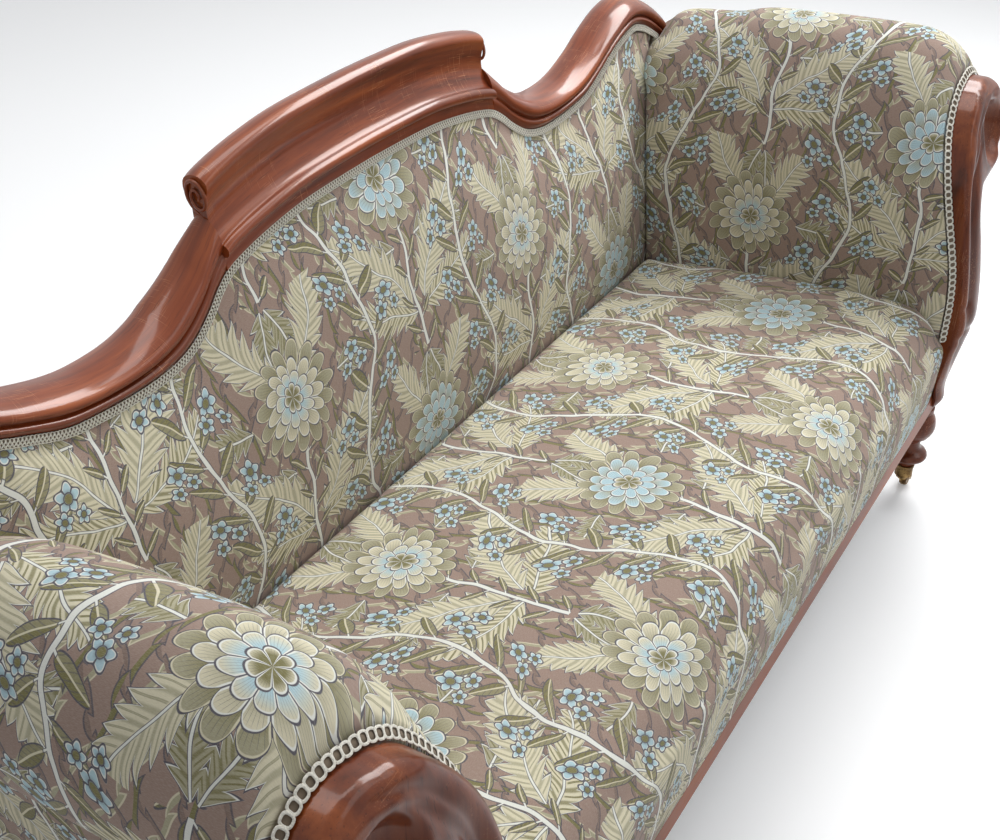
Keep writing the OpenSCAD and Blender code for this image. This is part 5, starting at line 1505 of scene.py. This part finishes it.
class SetteeStuffing(bpy.types.PropertyGroup):
    """How the seat, back and arms are stuffed."""
    pressure: bpy.props.FloatProperty(name="Pressure", description="Air pressure that fills the pads",
                                      default=4.0, min=0, max=10)
    reach: length_prop("Reach", "Furthest that filling may move the cloth", 0.006, 0, 0.02)
    crown: length_prop("Seat crown", "Rise of the seat's middle over its ends", 0.008, 0, 0.02)
    unevenness: length_prop("Unevenness", "Slow waviness of the stuffing", 0.0017, 0, 0.005)


class SetteeFinishes(bpy.types.PropertyGroup):
    """Colours of the print, wood, braid and metal."""
    repeat_width: length_prop("Repeat width", "Width of the print's repeat", 0.30, 0.1, 0.6)
    repeat_height: length_prop("Repeat height", "Height of the print's repeat", 0.40, 0.1, 0.8)
    ground: colour_prop("Ground", "Warm grey-brown behind the print", (156, 132, 118))
    cream: colour_prop("Cream", "Light fronds and petals", (218, 210, 180))
    white: colour_prop("White", "Stems and rims", (232, 232, 222))
    sage: colour_prop("Sage", "Shaded fronds and petals", (170, 164, 134))
    olive: colour_prop("Olive", "Vine leaves and calyxes", (124, 118, 72))
    blue: colour_prop("Blue", "Blossoms and inner petals", (178, 206, 212))
    slate: colour_prop("Slate", "Drawn lines", (84, 80, 88))
    wood_deep: colour_prop("Wood, dark", "Dark grain of the show-wood", (62, 22, 13))
    wood_middle: colour_prop("Wood, middle", "Body colour of the show-wood", (122, 53, 24))
    wood_warm: colour_prop("Wood, light", "Light grain of the show-wood", (170, 88, 42))
    braid_colour: colour_prop("Braid", "Cord of the braid", (240, 236, 222))
    brass_colour: colour_prop("Brass", "Casters", (176, 144, 92))


class SetteeStage(bpy.types.PropertyGroup):
    """Camera lens, lamps and floor."""
    lens: bpy.props.FloatProperty(name="Lens", description="Focal length on a 36 mm frame", default=50.15,
                                  min=10, max=200, unit="CAMERA")
    sky_strength: bpy.props.FloatProperty(name="Sky", description="Strength of the light from all round",
                                          default=0.33, min=0, max=2)
    key_power: power_prop("Key", "Power of the lamp over the front", 16)
    top_power: power_prop("Top", "Power of the lamp over the back", 46)
    window_power: power_prop("Window", "Power of the lamp past the right arm", 124)
    fill_power: power_prop("Fill", "Power of the lamp at the near side", 4)
    floor_colour: colour_prop("Floor", "Colour of the floor")


# ---------------------------------------------------------------- operators
class BuildBackWood(bpy.types.Operator):
    """Build the moulded crest with its scrolled ends, and the two shoulders"""
    bl_idname = "settee.back_wood"
    bl_label = "Back mouldings"

    def execute(self, context):
        build_crest()
        for side in SIDES:
            build_crest_volute(side)
            build_shoulder(side)
        return {"FINISHED"}


class BuildFacings(bpy.types.Operator):
    """Carve the two scrolled arm facings"""
    bl_idname = "settee.facings"
    bl_label = "Arm facings"

    def execute(self, context):
        for side in SIDES:
            build_facing(side)
        return {"FINISHED"}


class BuildSeat(bpy.types.Operator):
    """Stuff and cover the long seat"""
    bl_idname = "settee.seat"
    bl_label = "Seat"

    def execute(self, context):
        build_seat(context.scene.settee_stuffing)
        return {"FINISHED"}


class BuildBack(bpy.types.Operator):
    """Stuff and cover the back"""
    bl_idname = "settee.back"
    bl_label = "Back"

    def execute(self, context):
        build_back(context.scene.settee_stuffing)
        return {"FINISHED"}


class BuildArms(bpy.types.Operator):
    """Stuff and cover the two rolled arms"""
    bl_idname = "settee.arms"
    bl_label = "Arms"

    def execute(self, context):
        for side in SIDES:
            build_arm(side, context.scene.settee_stuffing)
        return {"FINISHED"}


class BuildBraid(bpy.types.Operator):
    """Lay the braid along the back and round the arm facings"""
    bl_idname = "settee.braid"
    bl_label = "Braid"

    def execute(self, context):
        build_back_braid()
        for side in SIDES:
            build_arm_braid(side)
        return {"FINISHED"}


class BuildCloths(bpy.types.Operator):
    """Stretch the outside covers and the bottom lining over the frame"""
    bl_idname = "settee.cloths"
    bl_label = "Outside covers"

    def execute(self, context):
        build_outside_back()
        for side in SIDES:
            build_outside_arm(side)
            build_corner_cover(side)
            build_post_cover(side)
        build_bottom_cloth()
        return {"FINISHED"}


class BuildSpringing(bpy.types.Operator):
    """Make the webbing, springs and canvases inside the seat and back"""
    bl_idname = "settee.springing"
    bl_label = "Springing"

    def execute(self, context):
        build_webbing()
        build_springs()
        build_hessian()
        build_back_canvas()
        return {"FINISHED"}


class LayFinishes(bpy.types.Operator):
    """Give every piece its wood, cloth, cord or metal"""
    bl_idname = "settee.finishes"
    bl_label = "Finishes"

    def execute(self, context):
        finish_all(context.scene.settee_finishes)
        return {"FINISHED"}


class BuildStage(bpy.types.Operator):
    """Set up the floor, lamps, sky and camera"""
    bl_idname = "settee.stage"
    bl_label = "Stage"

    def execute(self, context):
        build_stage(context.scene.settee_stage)
        return {"FINISHED"}


class SetteePanel(bpy.types.Panel):
    """Lists the settee's settings and the steps that build it"""
    bl_idname = "VIEW3D_PT_settee"
    bl_label = "Settee"
    bl_space_type = "VIEW_3D"
    bl_region_type = "UI"
    bl_category = "Settee"

    def draw(self, context):
        for group, steps in STEPS:
            box = self.layout.box()
            settings = getattr(context.scene, group)
            for key in settings.__annotations__:
                box.prop(settings, key)
            for step in steps:
                box.operator(step.bl_idname)


STEPS = (("settee_stuffing", (BuildBackWood, BuildFacings, BuildSeat, BuildBack, BuildArms, BuildBraid,
                              BuildCloths, BuildSpringing)),
         ("settee_finishes", (LayFinishes,)),
         ("settee_stage", (BuildStage,)))
GROUPS = {"settee_stuffing": SetteeStuffing, "settee_finishes": SetteeFinishes, "settee_stage": SetteeStage}


def register():
    for key, group in GROUPS.items():
        bpy.utils.register_class(group)
        setattr(bpy.types.Scene, key, bpy.props.PointerProperty(type=group))
    for _, steps in STEPS:
        for step in steps:
            bpy.utils.register_class(step)
    bpy.utils.register_class(SetteePanel)


def unregister():
    bpy.utils.unregister_class(SetteePanel)
    for _, steps in STEPS:
        for step in steps:
            bpy.utils.unregister_class(step)
    for key, group in GROUPS.items():
        delattr(bpy.types.Scene, key)
        bpy.utils.unregister_class(group)


def main():
    register()
    bpy.ops.settee.back_wood()
    bpy.ops.settee.facings()
    bpy.ops.settee.seat()
    bpy.ops.settee.back()
    bpy.ops.settee.arms()
    bpy.ops.settee.braid()
    bpy.ops.settee.cloths()
    bpy.ops.settee.springing()
    bpy.ops.settee.finishes()
    bpy.ops.settee.stage()


if __name__ == "__main__":
    main()
